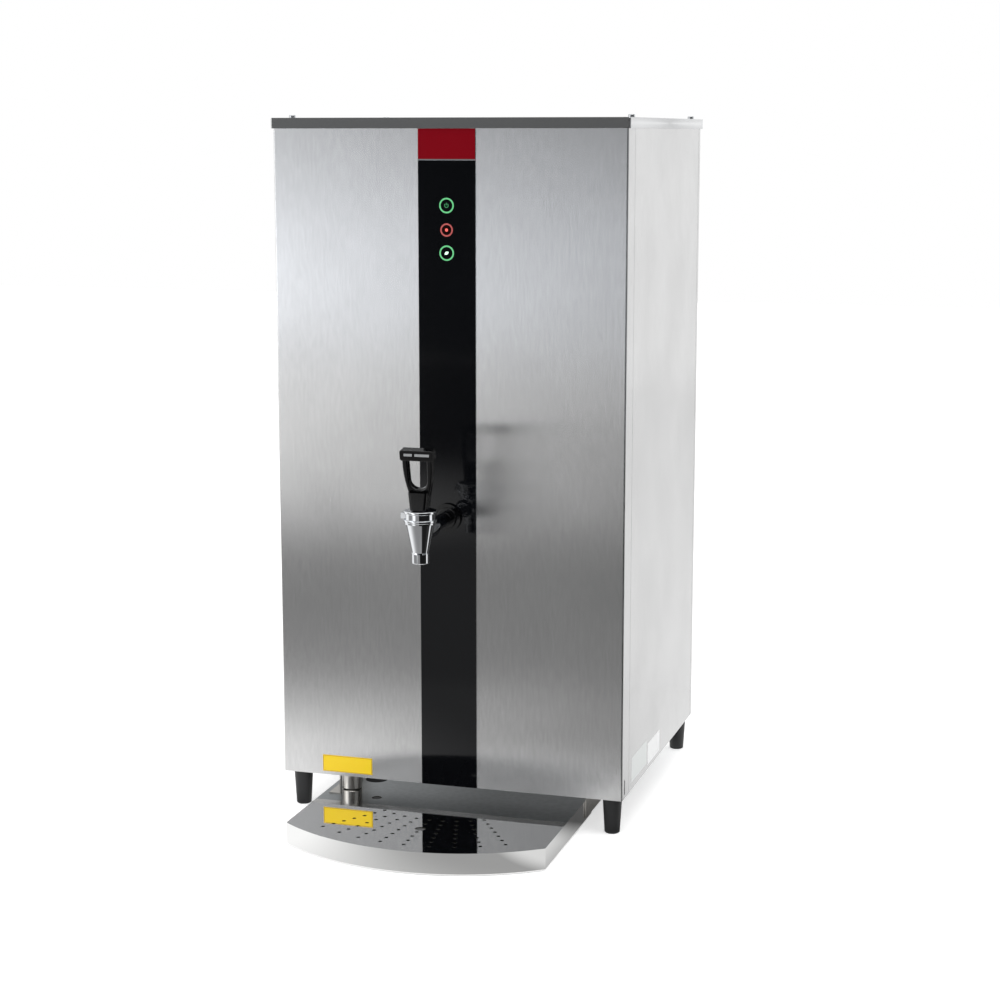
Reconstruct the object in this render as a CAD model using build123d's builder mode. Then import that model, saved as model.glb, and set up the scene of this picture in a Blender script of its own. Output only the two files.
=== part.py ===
"""Counter-top hot water urn: folded steel casing, lagged tank, lever tap and a slide-out drip tray.

Millimetres, +Z up, the front faces -Y. The origin is on the counter, under the middle of the whole object.
"""

from build123d import *
from math import cos, hypot, radians, sin
import os

os.makedirs("parts", exist_ok=True)

# ---- casing ----
casing_width = 385.0
casing_depth = 360.0
sheet = 1.2
bend_radius = 2.0
return_depth = 29.0  # side returns of the front panel
rear_return = 10.0  # side returns of the rear panel
flange_depth = 14.0  # inward flanges along the top and bottom edges
panel_seam = 0.6
front_lip = 12.0  # lips of the side panels behind the end panels
rear_lip = 7.0
lip_root = 3.0
lid_height = 11.0
lid_gap = 1.0  # casing side to lid skirt
lid_front_gap = 0.2
trim_thickness = 1.0
lift_slot_place = 10.0  # small slots in the side returns of the front panel
lift_slot_rise = 12.5
lift_slot_width = 4.0
lift_slot_height = 16.0
rim_height = 15.0  # upturned rim of the base plate
piece_gap = 0.1  # between sheets that slip together
touch_gap = 0.3  # between curved or moving neighbours
fit_gap = 0.05  # a shaft in its hole

# ---- legs ----
leg_height = 41.0
leg_top_radius = 10.7
leg_foot_radius = 8.2
leg_inset_x = 15.2
leg_inset_front = 19.0
leg_inset_rear = 13.0
leg_stud_radius = 4.0
leg_stud_length = 12.0
weld_nut_radius = 8.0
weld_nut_height = 6.5

# ---- front strip, badge, lamps and buttons ----
strip_width = 62.0
overlay = 0.8  # thickness of the stuck-on strip and badge
badge_height = 32.5
ring_radius = 7.9
small_ring_radius = 6.8
ring_width = 1.5
ring_proud = 0.3
ring_flange = 2.0
ring_flange_thickness = 1.5
power_drop = 78.6  # lower edge of the lid to each lamp
status_drop = 103.7
eco_drop = 127.5
button_travel = 1.0
cap_flange = 1.2
board_gap = 7.0  # inside of the front panel to the display board
board_thickness = 1.6
board_width = 48.0
board_margin = 18.0
board_post_radius = 2.5
board_post_x = 19.2
switch_size = 6.0

# ---- tap ----
tap_reach = 90.0  # panel face to the valve axis
tap_tip_height = 305.0
shank_rise = 32.0  # spout tip to the shank's axis
collar_radius = 9.2
collar_height = 10.0
cone_foot_radius = 8.6
cone_foot_rise = 11.5
cone_top_radius = 14.8
body_lip_radius = 16.4
body_lip_height = 1.5
body_rise = 43.0
seat_rise = 26.0
throat_radius = 5.0
chamber_radius = 9.0
boss_radius = 10.8
boss_length = 33.0
boss_socket_depth = 8.0
shank_radius = 7.5
water_radius = 3.5
bonnet_radius = 17.0
bonnet_waist_radius = 15.4
bonnet_height = 12.0
bonnet_rim = 3.0
bonnet_plug = 6.0
bonnet_roof = 5.0
spring_room_radius = 7.5
bonnet_lug_reach = 3.2
bonnet_lug_width = 6.0
bonnet_lug_root = 1.0
bonnet_rounding = 0.8
cup_rounding = 2.0
stem_radius = 3.0
stem_collar_radius = 5.5
stem_collar_height = 1.5
stem_tang_radius = 2.0
stem_tang_length = 6.0
stem_above_pin = 4.0
pin_radius = 1.5
pin_length = 18.0
pin_rise = 8.5  # bonnet top to the lever pin
cup_radius = 7.2
cup_height = 6.5
spring_wire = 0.9
spring_turns = 5
lever_gap = 0.4
neck_foot_width = 17.0
neck_width = 21.0  # where the neck runs into the loop
neck_front = 10.0  # lever neck, in front of and behind the valve's axis
neck_back = 8.0
neck_wall = 1.8
neck_height = 17.0
neck_rounding = 3.0
neck_heel = 1.2
neck_overlap = 1.5  # neck and loop run into each other
neck_slot_top = 6.0  # slot above the lever pin
loop_height = 36.0
loop_depth = 9.0
loop_middle_width = 29.8
loop_top_width = 32.0
window_top_width = 20.5
window_foot_width = 19.0
window_height = 30.5
window_radius = 9.0
loop_rounding = 2.0
bar_overlap = 4.0  # the loop's arms end inside the bar
bar_width = 35.4
bar_height = 11.0
bar_depth = 11.5
bar_rounding = 2.0
bar_edge_rounding = 0.8
lever_lean = 10.0  # degrees, the loop leans towards the user
flange_radius = 15.0
flange_thickness = 4.0
flange_hub = 2.0
flange_hub_radius = 11.2
flange_hub_taper = 20.0  # degrees
washer_radius = 12.0
washer_thickness = 1.5
nut_across_flats = 24.0
shank_nut_thickness = 7.0
thread_proud = 2.0
barb_length = 16.0
barb_radius = 7.0
hose_wall = 3.0
outlet_gap = 2.0  # shank barb to the tank's outlet, inside the hose

# ---- drip tray ----
tray_width = 283.0
tray_height = 24.0
tray_reach = 168.0  # panel face to the middle of the front edge
tray_sagitta = 49.0
tray_tongue = 71.0  # part of the tray under the casing
tray_sheet = 1.2
tray_skirt_gap = 0.8  # skirt to the counter
basin_wall = 1.5
basin_gap = 0.5
hole_radius = 2.1
fan_rays = 9
fan_step = 8.2  # degrees
fan_apex = 35.0  # behind the panel face
fan_rings = 7
fan_ring_step = 13.5
fan_reach = 184.0
finger_hole_radius = 5.6
drain_hole_radius = 12.5
finger_holes = ((0.0, -98.0), (-79.0, -13.0))  # x, and distance behind the panel face
drain_hole = (-102.0, 50.0)
tray_corner = 1.5
runner_front = 40.0  # panel face to the runners under the base plate
runner_length = 90.0
runner_foot = 5.0
runner_flange = 14.0

# ---- tank ----
tank_front_gap = 50.0  # outside of the front panel to the tank
tank_wall = 1.5
tank_height = 520.0
tank_clearance = 74.0  # base plate to the tank
tank_back_gap = 30.0  # tank to the outside of the rear panel
tank_flange = 10.0
tank_flange_thickness = 3.0
gasket_thickness = 2.0
tank_lid_thickness = 2.5
tank_screw_count = 8
lagging = 21.0
lagging_rise = 4.0
lagging_gap = 8.0  # jacket to the tank's flange
stand_ring = 26.0
stand_thickness = 3.0
stand_post_width = 22.0
stand_post_thickness = 5.0
spigot_length = 18.0
spigot_radius = 6.0
spigot_bore = 4.5
element_spread = 50.0
element_loop = 22.0
element_tube_radius = 4.25
element_height = 240.0
element_boss_radius = 15.0
element_boss_rise = 4.0
element_hex = 40.0
element_hex_height = 9.0
terminal_length = 14.0
probe_radius = 2.0
probe_spread = 24.0
probe_lengths = (60.0, 130.0, 420.0)
bush_radius = 7.0
bush_height = 12.0
sensor_radius = 3.0
sensor_length = 160.0
sensor_place = -70.0
sensor_hex_height = 7.0
thermostat_radius = 16.0
thermostat_height = 14.0
thermostat_place = 80.0
thermostat_rounding = 1.5
thermostat_strap_length = 46.0
thermostat_strap_width = 12.0

# ---- water inlet, overflow and drain ----
inlet_inset = 112.5
inlet_height = 73.0
inlet_thread_radius = 13.2
inlet_proud = 18.0
inlet_neck_radius = 14.4
inlet_neck_proud = 2.0
valve_length = 44.0
valve_radius = 15.0
plunger_radius = 4.0
plunger_length = 16.0
plunger_travel = 2.5
plunger_lift = 0.5  # plunger above its seat at rest
plunger_seat = 2.0  # seat above the valve's axis
inlet_bore_wall = 3.0
coil_size = 28.0
coil_height = 30.0
coil_rounding = 3.0
guide_wall = 1.0
inlet_spigot_y = 50.0  # behind the tank's axis
overflow_inset = 24.0  # overflow to the tray's left side
overflow_y = 14.0  # behind the panel face
overflow_radius = 11.2
overflow_tube_wall = 2.0
overflow_neck_radius = 8.0  # through the base plate
overflow_bore = 4.5
overflow_above_tray = 0.8
overflow_hex = 22.0
overflow_hex_height = 5.0
overflow_barb_rise = 34.0
overflow_drop = 37.4  # top of the tank to the overflow
hose_bend = 18.0
hose_stop = 1.0  # hose ends to the shoulders of their spigots
hose_overlap = 6.0

# ---- electrics ----
shelf_gap = 36.1  # tank lid to the shelf
electrics_room = 65.0  # underside of the shelf to the lower edge of the lid
shelf_front = 62.0
shelf_depth = 236.0
shelf_flange = 16.0
board_length = 150.0
board_breadth = 100.0
board_boss_height = 8.0
board_boss_radius = 4.0
relay_width = 58.0
relay_depth = 46.0
relay_height = 34.0
terminal_width = 62.0
terminal_depth = 24.0
terminal_height = 22.0
terminal_hole_radius = 3.0
terminal_hole_depth = 6.0
board_inset_x = 88.25  # control board's middle to the casing's middle
board_hole_margin = 14.0
transformer_size = (38.0, 34.0)
board_relay_size = (16.0, 20.0)
board_relay_pitch = 22.0
board_part_height = 18.0
connector_size = (60.0, 10.0)
relay_base = 4.0
gland_inset = 82.5
gland_height = 85.0
gland_bore = 4.75
gland_radius = 9.8
gland_hex = 24.0
gland_proud = 22.0
gland_hex_height = 6.0
gland_nut_height = 4.8
gland_inside = 10.0
gland_rounding = 2.0
rocker_height = 150.0
rocker_width = 22.0
rocker_tall = 30.0
rocker_frame = 2.5
rocker_bezel = 2.0
rocker_set_back = 2.0  # panel face to the rocker's pivot
blade_width = 6.3
blade_thickness = 0.8
blade_pitch = 9.0
blade_length = 8.0
rocker_depth = 24.0
rocker_swing = 8.0  # degrees, half of the throw
rocker_root = 4.5
rocker_back = 1.0
rocker_face = 3.2
rocker_dish = 1.4
trunnion_radius = 1.2
vent_width = 60.0
vent_slot = 5.0
vent_rows = 8
vent_pitch = 12.0
vent_inset = 97.5
vent_drop = 83.0  # lower edge of the lid to the middle of the slots

# ---- fasteners and labels ----
screw_radius = 2.0
screw_head_radius = 3.6
screw_head_height = 3.2
screw_length = 9.0
lid_screw_inset = 6.5
lid_screw_front = 38.4
lid_screw_back = 27.0  # rear screws to the back of the casing
rear_screw_inset = 14.0
rear_screw_margin = 28.0  # end screws to the ends of the casing
rear_screw_low = 253.0  # middle screws above the casing's underside
rear_screw_high = 477.0
rear_head_height = 2.2
rear_screw_length = 6.3
head_rounding = 0.8
recess_span = 4.0  # cross recess of the driver
recess_width = 0.9
recess_depth = 1.4
label_thickness = 0.2
label_width = 57.7
label_height = 18.7
label_inset = 74.8  # label's middle to the casing's left side
label_rise = 3.8
plate_front = 119.0
plate_width = 60.0
plate_height = 24.0
plate_rise = 5.4

# ---- places worked out from the sizes above ----
base_z = leg_height + sheet
floor_z = base_z + sheet
tank_foot = floor_z + tank_clearance
tank_top = tank_foot + tank_height
lid_seat = tank_top + gasket_thickness
tank_roof = lid_seat + tank_lid_thickness
overflow_outlet_height = tank_top - overflow_drop
shelf_height = tank_roof + shelf_gap
shelf_z = shelf_height + sheet
casing_height = shelf_height + electrics_room - leg_height
lid_foot = leg_height + casing_height
lid_top = lid_foot + lid_height
casing_top = lid_top - sheet
power_height = lid_foot - power_drop
status_height = lid_foot - status_drop
eco_height = lid_foot - eco_drop
vent_height = lid_foot - vent_drop
rear_reach = max(inlet_proud, gland_proud)
overall_depth = tray_reach + casing_depth + rear_reach
panel_y = tray_reach - overall_depth / 2
back_y = panel_y + casing_depth
side_x = casing_width / 2
lid_screw_x = side_x - lid_screw_inset
lid_screw_rear = casing_depth - lid_screw_back
half_tray = tray_width / 2
overflow_x = overflow_inset - half_tray
inlet_x = side_x - inlet_inset
gland_x = gland_inset - side_x
rocker_x = gland_x
vent_x = side_x - vent_inset
label_x = label_inset - side_x
inside_front = panel_y + sheet
inside_back = back_y - sheet
overlay_y = panel_y - overlay
tap_y = panel_y - tap_reach
shank_height = tap_tip_height + shank_rise
body_top = tap_tip_height + body_rise
bonnet_top = body_top + bonnet_height
seat_z = tap_tip_height + seat_rise
pin_z = bonnet_top + pin_rise
tank_radius = (casing_depth - tank_front_gap - tank_back_gap) / 2
tank_y = back_y - tank_back_gap - tank_radius
lagging_height = tank_height - tank_flange_thickness - lagging_rise - lagging_gap
lagging_radius = tank_radius + piece_gap + lagging


def front_plane(y):
    """Upright plane at this y: local x is +X, local y is +Z, and extrude goes to the front."""
    return Plane.XZ.offset(-y)


def back_plane(y):
    """Upright plane at this y that extrudes to the back; local x is -X."""
    return Plane(origin=(0, y, 0), x_dir=(-1, 0, 0), z_dir=(0, 1, 0))


def align_out(side):
    """Grows a rectangle inwards from the outer side."""
    return Align.MAX if side > 0 else Align.MIN


def write(solid, name):
    """Names the finished piece and writes its file."""
    solid.label = name
    export_step(solid, f"parts/{name}.step")


# ======== casing ========
with BuildPart() as base_plate:
    base_width = casing_width - 4 * sheet - 2 * piece_gap
    base_depth = casing_depth - 2 * sheet - 2 * piece_gap
    with BuildSketch(Plane.XY.offset(base_z)):
        with Locations((0, (panel_y + back_y) / 2)):
            Rectangle(base_width, base_depth)
    extrude(amount=rim_height)
    offset(amount=-sheet, openings=base_plate.faces().sort_by(Axis.Z)[-1])
    leg_places = [
        (side * (side_x - leg_inset_x), y)
        for side in (-1, 1)
        for y in (panel_y + leg_inset_front, back_y - leg_inset_rear)
    ]
    with BuildSketch(Plane.XY.offset(floor_z)):
        with Locations(*leg_places):
            Circle(weld_nut_radius)
    extrude(amount=weld_nut_height)
    with BuildSketch(Plane.XY.offset(base_z)):
        with Locations(*leg_places):
            Circle(leg_stud_radius + fit_gap)
        with Locations((overflow_x, panel_y + overflow_y)):
            Circle(overflow_neck_radius + fit_gap)
        with Locations((0, tank_y)):
            with GridLocations(0, vent_pitch, 1, vent_rows):
                SlotOverall(vent_width, vent_slot)
    extrude(amount=rim_height, mode=Mode.SUBTRACT)
write(base_plate.part, "base_plate")

with BuildPart() as legs:
    for leg_x, leg_y in leg_places:
        with BuildSketch(Plane.XY):
            with Locations((leg_x, leg_y)):
                Circle(leg_foot_radius)
        with BuildSketch(Plane.XY.offset(base_z)):
            with Locations((leg_x, leg_y)):
                Circle(leg_top_radius)
        loft()
        with BuildSketch(Plane.XY.offset(base_z)):
            with Locations((leg_x, leg_y)):
                Circle(leg_stud_radius)
        extrude(amount=leg_stud_length)
    chamfer(legs.edges().group_by(Axis.Z)[0], 1.0)
write(legs.part, "legs")


lamp_holes = (
    (power_height, ring_radius),
    (status_height, small_ring_radius),
    (eco_height, ring_radius),
)

with BuildPart() as front_panel:
    with BuildSketch(Plane.XY.offset(leg_height)):
        with Locations((0, panel_y)):
            Rectangle(casing_width, return_depth, align=(Align.CENTER, Align.MIN))
    extrude(amount=casing_top - leg_height)
    fillet(front_panel.edges().filter_by(Axis.Z).group_by(Axis.Y)[0], bend_radius)
    offset(amount=-sheet, openings=front_panel.faces().sort_by(Axis.Y)[-1])
    with BuildSketch(front_plane(inside_front)):
        with Locations(*((0, height) for height, _ in lamp_holes)):
            for x in (-1, 1):
                with Locations((x * board_post_x, 0)):
                    Circle(board_post_radius)
    extrude(amount=-board_gap)
    with BuildSketch(front_plane(panel_y)):
        with Locations((0, shank_height)):
            Circle(shank_radius + fit_gap)
        for height, radius in lamp_holes:
            with Locations((0, height)):
                Circle(radius + fit_gap)
    extrude(amount=-sheet, mode=Mode.SUBTRACT)
    with BuildSketch(Plane.XY.offset(leg_height)):
        with Locations((overflow_x, panel_y + overflow_y)):
            Circle(overflow_radius + piece_gap)
        with Locations(*leg_places):
            Circle(leg_top_radius + piece_gap)
        with Locations((0, panel_y + flange_depth)):
            Rectangle(casing_width - 2 * sheet, return_depth, align=(Align.CENTER, Align.MIN))
    extrude(amount=sheet, mode=Mode.SUBTRACT)
    with BuildSketch(Plane.YZ):
        with Locations((panel_y + lift_slot_place, leg_height + lift_slot_rise)):
            Rectangle(lift_slot_width, lift_slot_height)
    extrude(amount=casing_width, both=True, mode=Mode.SUBTRACT)
write(front_panel.part, "front_panel")


def side_panel(side, name):
    """Flat skin with inward top and bottom flanges and lips that tuck behind both end panels."""
    skin_front = panel_y + return_depth + panel_seam
    skin_back = back_y - rear_return - panel_seam
    inner_x = side_x - sheet
    with BuildPart() as panel:
        with BuildSketch(Plane.XY.offset(leg_height)):
            with Locations((side * side_x, skin_front)):
                Rectangle(sheet, skin_back - skin_front, align=(align_out(side), Align.MIN))
        extrude(amount=casing_top - leg_height)
        with BuildSketch(Plane.XY.offset(base_z)):
            with Locations((side * inner_x, skin_front + lip_root)):
                Rectangle(sheet, front_lip + lip_root, align=(align_out(side), Align.MAX))
            with Locations((side * inner_x, skin_back - lip_root)):
                Rectangle(sheet, rear_lip + lip_root, align=(align_out(side), Align.MIN))
        extrude(amount=casing_top - base_z - sheet)
        for level in (leg_height, casing_top - sheet):
            with BuildSketch(Plane.XY.offset(level)):
                with Locations((side * side_x, skin_front)):
                    Rectangle(flange_depth, skin_back - skin_front, align=(align_out(side), Align.MIN))
            extrude(amount=sheet)
        with BuildSketch(Plane.XY.offset(leg_height)):
            with Locations(*leg_places):
                Circle(leg_top_radius + piece_gap)
        extrude(amount=sheet, mode=Mode.SUBTRACT)
        with BuildSketch(Plane.XY.offset(casing_top - sheet)):
            for place in (lid_screw_front, lid_screw_rear):
                with Locations((side * lid_screw_x, panel_y + place)):
                    Circle(screw_radius + fit_gap)
        extrude(amount=sheet, mode=Mode.SUBTRACT)
    write(panel.part, name)


side_panel(-1, "left_side_panel")
side_panel(1, "right_side_panel")

rear_screw_places = [
    (x, z)
    for x in (-side_x + rear_screw_inset, side_x - rear_screw_inset)
    for z in (
        leg_height + rear_screw_margin,
        leg_height + rear_screw_low,
        leg_height + rear_screw_high,
        casing_top - rear_screw_margin,
    )
]

with BuildPart() as rear_panel:
    with BuildSketch(Plane.XY.offset(leg_height)):
        with Locations((0, back_y)):
            Rectangle(casing_width, rear_return, align=(Align.CENTER, Align.MAX))
    extrude(amount=casing_top - leg_height)
    fillet(rear_panel.edges().filter_by(Axis.Z).group_by(Axis.Y)[-1], bend_radius)
    offset(amount=-sheet, openings=rear_panel.faces().sort_by(Axis.Y)[0])
    with BuildSketch(front_plane(back_y)):
        for x in (-vent_x, vent_x):
            with Locations((x, vent_height)):
                with GridLocations(0, vent_pitch, 1, vent_rows):
                    SlotOverall(vent_width, vent_slot)
        with Locations((inlet_x, inlet_height)):
            Circle(inlet_neck_radius + fit_gap)
        with Locations((gland_x, gland_height)):
            Circle(gland_radius + fit_gap)
        with Locations((rocker_x, rocker_height)):
            Rectangle(rocker_width + 2 * piece_gap, rocker_tall + 2 * piece_gap)
        with Locations(*rear_screw_places):
            Circle(screw_radius + fit_gap)
    extrude(amount=sheet, mode=Mode.SUBTRACT)
    with BuildSketch(Plane.XY.offset(leg_height)):
        with Locations(*leg_places):
            Circle(leg_top_radius + piece_gap)
    extrude(amount=sheet, mode=Mode.SUBTRACT)
write(rear_panel.part, "rear_panel")

with BuildPart() as rear_panel_screws:
    with BuildSketch(back_plane(back_y)):
        with Locations(*((-x, z) for x, z in rear_screw_places)):
            Circle(screw_head_radius)
    extrude(amount=rear_head_height)
    fillet(rear_panel_screws.edges().group_by(Axis.Y)[-1], head_rounding)
    with BuildSketch(front_plane(back_y)):
        with Locations(*rear_screw_places):
            Circle(screw_radius)
    extrude(amount=rear_screw_length)
    with BuildSketch(back_plane(back_y + rear_head_height)):
        with Locations(*((-x, z) for x, z in rear_screw_places)):
            Rectangle(recess_span, recess_width)
            Rectangle(recess_width, recess_span)
    extrude(amount=-recess_depth, mode=Mode.SUBTRACT)
write(rear_panel_screws.part, "rear_panel_screws")

lid_width = casing_width + 2 * (lid_gap + sheet)
lid_front_y = panel_y - lid_front_gap - sheet
lid_back_y = back_y + lid_gap + sheet
lid_screw_places = [
    (side * lid_screw_x, panel_y + place)
    for side in (-1, 1)
    for place in (lid_screw_front, lid_screw_rear)
]

with BuildPart() as lid:
    with BuildSketch(Plane.XY.offset(lid_foot)):
        with Locations((0, (lid_front_y + lid_back_y) / 2)):
            Rectangle(lid_width, lid_back_y - lid_front_y)
    extrude(amount=lid_height)
    fillet(lid.edges().filter_by(Axis.Z), bend_radius)
    fillet(lid.edges().group_by(Axis.Z)[-1].filter_by(Axis.Y), 1.0)
    offset(amount=-sheet, openings=lid.faces().sort_by(Axis.Z)[0])
    with BuildSketch(Plane.XY.offset(lid_top - sheet)):
        with Locations(*lid_screw_places):
            Circle(screw_radius + fit_gap)
    extrude(amount=sheet, mode=Mode.SUBTRACT)
write(lid.part, "lid")

with BuildPart() as lid_front_trim:
    with BuildSketch(front_plane(lid_front_y)):
        with Locations((0, lid_foot)):
            Rectangle(lid_width - 2 * bend_radius, lid_height, align=(Align.CENTER, Align.MIN))
    extrude(amount=trim_thickness)
    fillet(lid_front_trim.edges().filter_by(Axis.X).group_by(Axis.Y)[0], 0.4)
write(lid_front_trim.part, "lid_front_trim")

with BuildPart() as lid_screws:
    with BuildSketch(Plane.XY.offset(lid_top)):
        with Locations(*lid_screw_places):
            Circle(screw_head_radius)
    extrude(amount=screw_head_height)
    fillet(lid_screws.edges().group_by(Axis.Z)[-1], head_rounding)
    with BuildSketch(Plane.XY.offset(lid_top)):
        with Locations(*lid_screw_places):
            Circle(screw_radius)
    extrude(amount=-screw_length)
    with BuildSketch(Plane.XY.offset(lid_top + screw_head_height)):
        with Locations(*lid_screw_places):
            Rectangle(recess_span, recess_width)
            Rectangle(recess_width, recess_span)
    extrude(amount=-recess_depth, mode=Mode.SUBTRACT)
write(lid_screws.part, "lid_screws")

# ======== front strip ========
badge_foot = lid_foot - badge_height

with BuildPart() as strip_panel:
    with BuildSketch(front_plane(panel_y)):
        with Locations((0, leg_height)):
            Rectangle(
                strip_width,
                badge_foot - leg_height - piece_gap,
                align=(Align.CENTER, Align.MIN),
            )
        with Locations((0, shank_height)):
            Circle(shank_radius + fit_gap, mode=Mode.SUBTRACT)
        for height, radius in lamp_holes:
            with Locations((0, height)):
                Circle(radius + fit_gap, mode=Mode.SUBTRACT)
    extrude(amount=overlay)
write(strip_panel.part, "strip_panel")

with BuildPart() as red_badge:
    with BuildSketch(front_plane(panel_y)):
        with Locations((0, badge_foot)):
            Rectangle(
                strip_width,
                badge_height - piece_gap,
                align=(Align.CENTER, Align.MIN),
            )
    extrude(amount=overlay)
write(red_badge.part, "red_badge")

ring_face_y = overlay_y - ring_proud
board_y = inside_front + board_gap
ring_flange_back = inside_front + ring_flange_thickness
cap_flange_y = ring_flange_back + touch_gap
switch_front_y = cap_flange_y + cap_flange + button_travel + touch_gap


def light_ring(height, radius, name):
    """Clear light guide with a flange that stops it behind the front panel."""
    with BuildPart() as ring:
        with Locations(Plane(origin=(0, ring_face_y, height), z_dir=(0, 1, 0))):
            Cylinder(
                radius,
                ring_flange_back - ring_face_y,
                align=(Align.CENTER, Align.CENTER, Align.MIN),
            )
        with Locations(Plane(origin=(0, inside_front, height), z_dir=(0, 1, 0))):
            Cylinder(
                radius + ring_flange,
                ring_flange_thickness,
                align=(Align.CENTER, Align.CENTER, Align.MIN),
            )
        with Locations(Plane(origin=(0, ring_face_y, height), z_dir=(0, 1, 0))):
            Cylinder(
                radius - ring_width,
                ring_flange_back - ring_face_y,
                align=(Align.CENTER, Align.CENTER, Align.MIN),
                mode=Mode.SUBTRACT,
            )
        front_edges = ring.edges().filter_by(GeomType.CIRCLE).group_by(Axis.Y)[0]
        fillet(front_edges, ring_proud * 0.6)
    write(ring.part, name)


light_ring(power_height, ring_radius, "power_ring")
light_ring(status_height, small_ring_radius, "status_ring")
light_ring(eco_height, ring_radius, "eco_ring")


def button(height, name):
    """Round button cap that slides in its ring, with a flange that keeps it from falling out."""
    cap_radius = ring_radius - ring_width - fit_gap
    with BuildPart() as cap:
        with Locations(Plane(origin=(0, ring_face_y, height), z_dir=(0, 1, 0))):
            Cylinder(
                cap_radius,
                cap_flange_y + cap_flange - ring_face_y,
                align=(Align.CENTER, Align.CENTER, Align.MIN),
            )
        with Locations(Plane(origin=(0, cap_flange_y, height), z_dir=(0, 1, 0))):
            Cylinder(
                cap_radius + ring_flange / 2,
                cap_flange,
                align=(Align.CENTER, Align.CENTER, Align.MIN),
            )
        front_edges = cap.edges().filter_by(GeomType.CIRCLE).group_by(Axis.Y)[0]
        fillet(front_edges, ring_proud * 0.6)
    write(cap.part, name)


button(power_height, "power_button")
button(eco_height, "eco_button")

with BuildPart() as status_lens:
    with Locations(Plane(origin=(0, ring_face_y, status_height), z_dir=(0, 1, 0))):
        Cylinder(
            small_ring_radius - ring_width - fit_gap,
            switch_front_y - ring_face_y,
            align=(Align.CENTER, Align.CENTER, Align.MIN),
        )
    fillet(status_lens.edges().group_by(Axis.Y)[0], ring_proud * 0.6)
write(status_lens.part, "status_lens")

with BuildPart() as display_board:
    board_middle = (power_height + eco_height) / 2
    with BuildSketch(front_plane(board_y)):
        with Locations((0, board_middle)):
            Rectangle(board_width, power_height - eco_height + 2 * board_margin)
    extrude(amount=-board_thickness)
    with BuildSketch(front_plane(board_y)):
        with Locations(*((0, height) for height, _ in lamp_holes)):
            Rectangle(switch_size, switch_size)
    extrude(amount=board_y - switch_front_y)
write(display_board.part, "display_board")

# ======== tap ========
with BuildPart() as tap_body:
    with BuildSketch(Plane(origin=(0, tap_y, tap_tip_height), x_dir=(1, 0, 0), z_dir=(0, -1, 0))):
        with BuildLine():
            Polyline(
                (0, 0),
                (collar_radius, 0),
                (collar_radius, collar_height),
                (cone_foot_radius, cone_foot_rise),
                (cone_top_radius, body_rise - body_lip_height),
                (body_lip_radius, body_rise - body_lip_height),
                (body_lip_radius, body_rise),
                (0, body_rise),
                (0, 0),
            )
        make_face()
    revolve(axis=Axis((0, tap_y, 0), (0, 0, 1)))
    with Locations(Plane(origin=(0, tap_y, shank_height), z_dir=(0, 1, 0))):
        Cylinder(boss_radius, boss_length, align=(Align.CENTER, Align.CENTER, Align.MIN))
    boss_end = tap_body.edges().filter_by(GeomType.CIRCLE).group_by(Axis.Y)[-1]
    chamfer(boss_end, 0.8)
    fillet(tap_body.edges().group_by(Axis.Z)[0], 1.0)
    with BuildSketch(Plane.XY.offset(seat_z)):
        with Locations((0, tap_y)):
            Circle(chamber_radius)
    extrude(amount=body_top - seat_z, mode=Mode.SUBTRACT)
    with BuildSketch(Plane.XY.offset(tap_tip_height)):
        with Locations((0, tap_y)):
            Circle(throat_radius)
    extrude(amount=seat_rise, mode=Mode.SUBTRACT)
    with Locations(Plane(origin=(0, tap_y + throat_radius, shank_height), z_dir=(0, 1, 0))):
        Cylinder(
            water_radius,
            boss_length,
            align=(Align.CENTER, Align.CENTER, Align.MIN),
            mode=Mode.SUBTRACT,
        )
    socket_y = tap_y + boss_length - boss_socket_depth
    with Locations(Plane(origin=(0, socket_y, shank_height), z_dir=(0, 1, 0))):
        Cylinder(
            shank_radius + fit_gap,
            boss_length,
            align=(Align.CENTER, Align.CENTER, Align.MIN),
            mode=Mode.SUBTRACT,
        )
write(tap_body.part, "tap_body")

with BuildPart() as tap_bonnet:
    with BuildSketch(Plane(origin=(0, tap_y, body_top), x_dir=(1, 0, 0), z_dir=(0, -1, 0))):
        with BuildLine():
            Polyline(
                (spring_room_radius, -bonnet_plug),
                (chamber_radius - fit_gap, -bonnet_plug),
                (chamber_radius - fit_gap, 0),
                (bonnet_radius, 0),
                (bonnet_radius, bonnet_rim),
                (bonnet_waist_radius, bonnet_rim),
                (bonnet_waist_radius, bonnet_height - bonnet_rim),
                (bonnet_radius, bonnet_height - bonnet_rim),
                (bonnet_radius, bonnet_height),
                (stem_radius + fit_gap, bonnet_height),
                (stem_radius + fit_gap, bonnet_height - bonnet_roof),
                (spring_room_radius, bonnet_height - bonnet_roof),
                (spring_room_radius, -bonnet_plug),
            )
        make_face()
    revolve(axis=Axis((0, tap_y, 0), (0, 0, 1)))
    outer_rims = tap_bonnet.edges().filter_by(
        lambda edge: edge.geom_type == GeomType.CIRCLE and abs(edge.radius - bonnet_radius) < 0.01
    )
    fillet(outer_rims, bonnet_rounding)
    with BuildSketch(Plane.XY.offset(body_top + bonnet_rim)):
        with Locations((-bonnet_waist_radius + bonnet_lug_root, tap_y)):
            Rectangle(
                bonnet_radius - bonnet_waist_radius + bonnet_lug_reach + bonnet_lug_root,
                bonnet_lug_width,
                align=(Align.MAX, Align.CENTER),
            )
    extrude(amount=bonnet_height - 2 * bonnet_rim)
write(tap_bonnet.part, "tap_bonnet")

cup_foot = seat_z + touch_gap
stem_foot = cup_foot + cup_height - stem_tang_length + fit_gap
collar_z = cup_foot + cup_height + fit_gap
spring_room_top = bonnet_top - bonnet_roof

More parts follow.
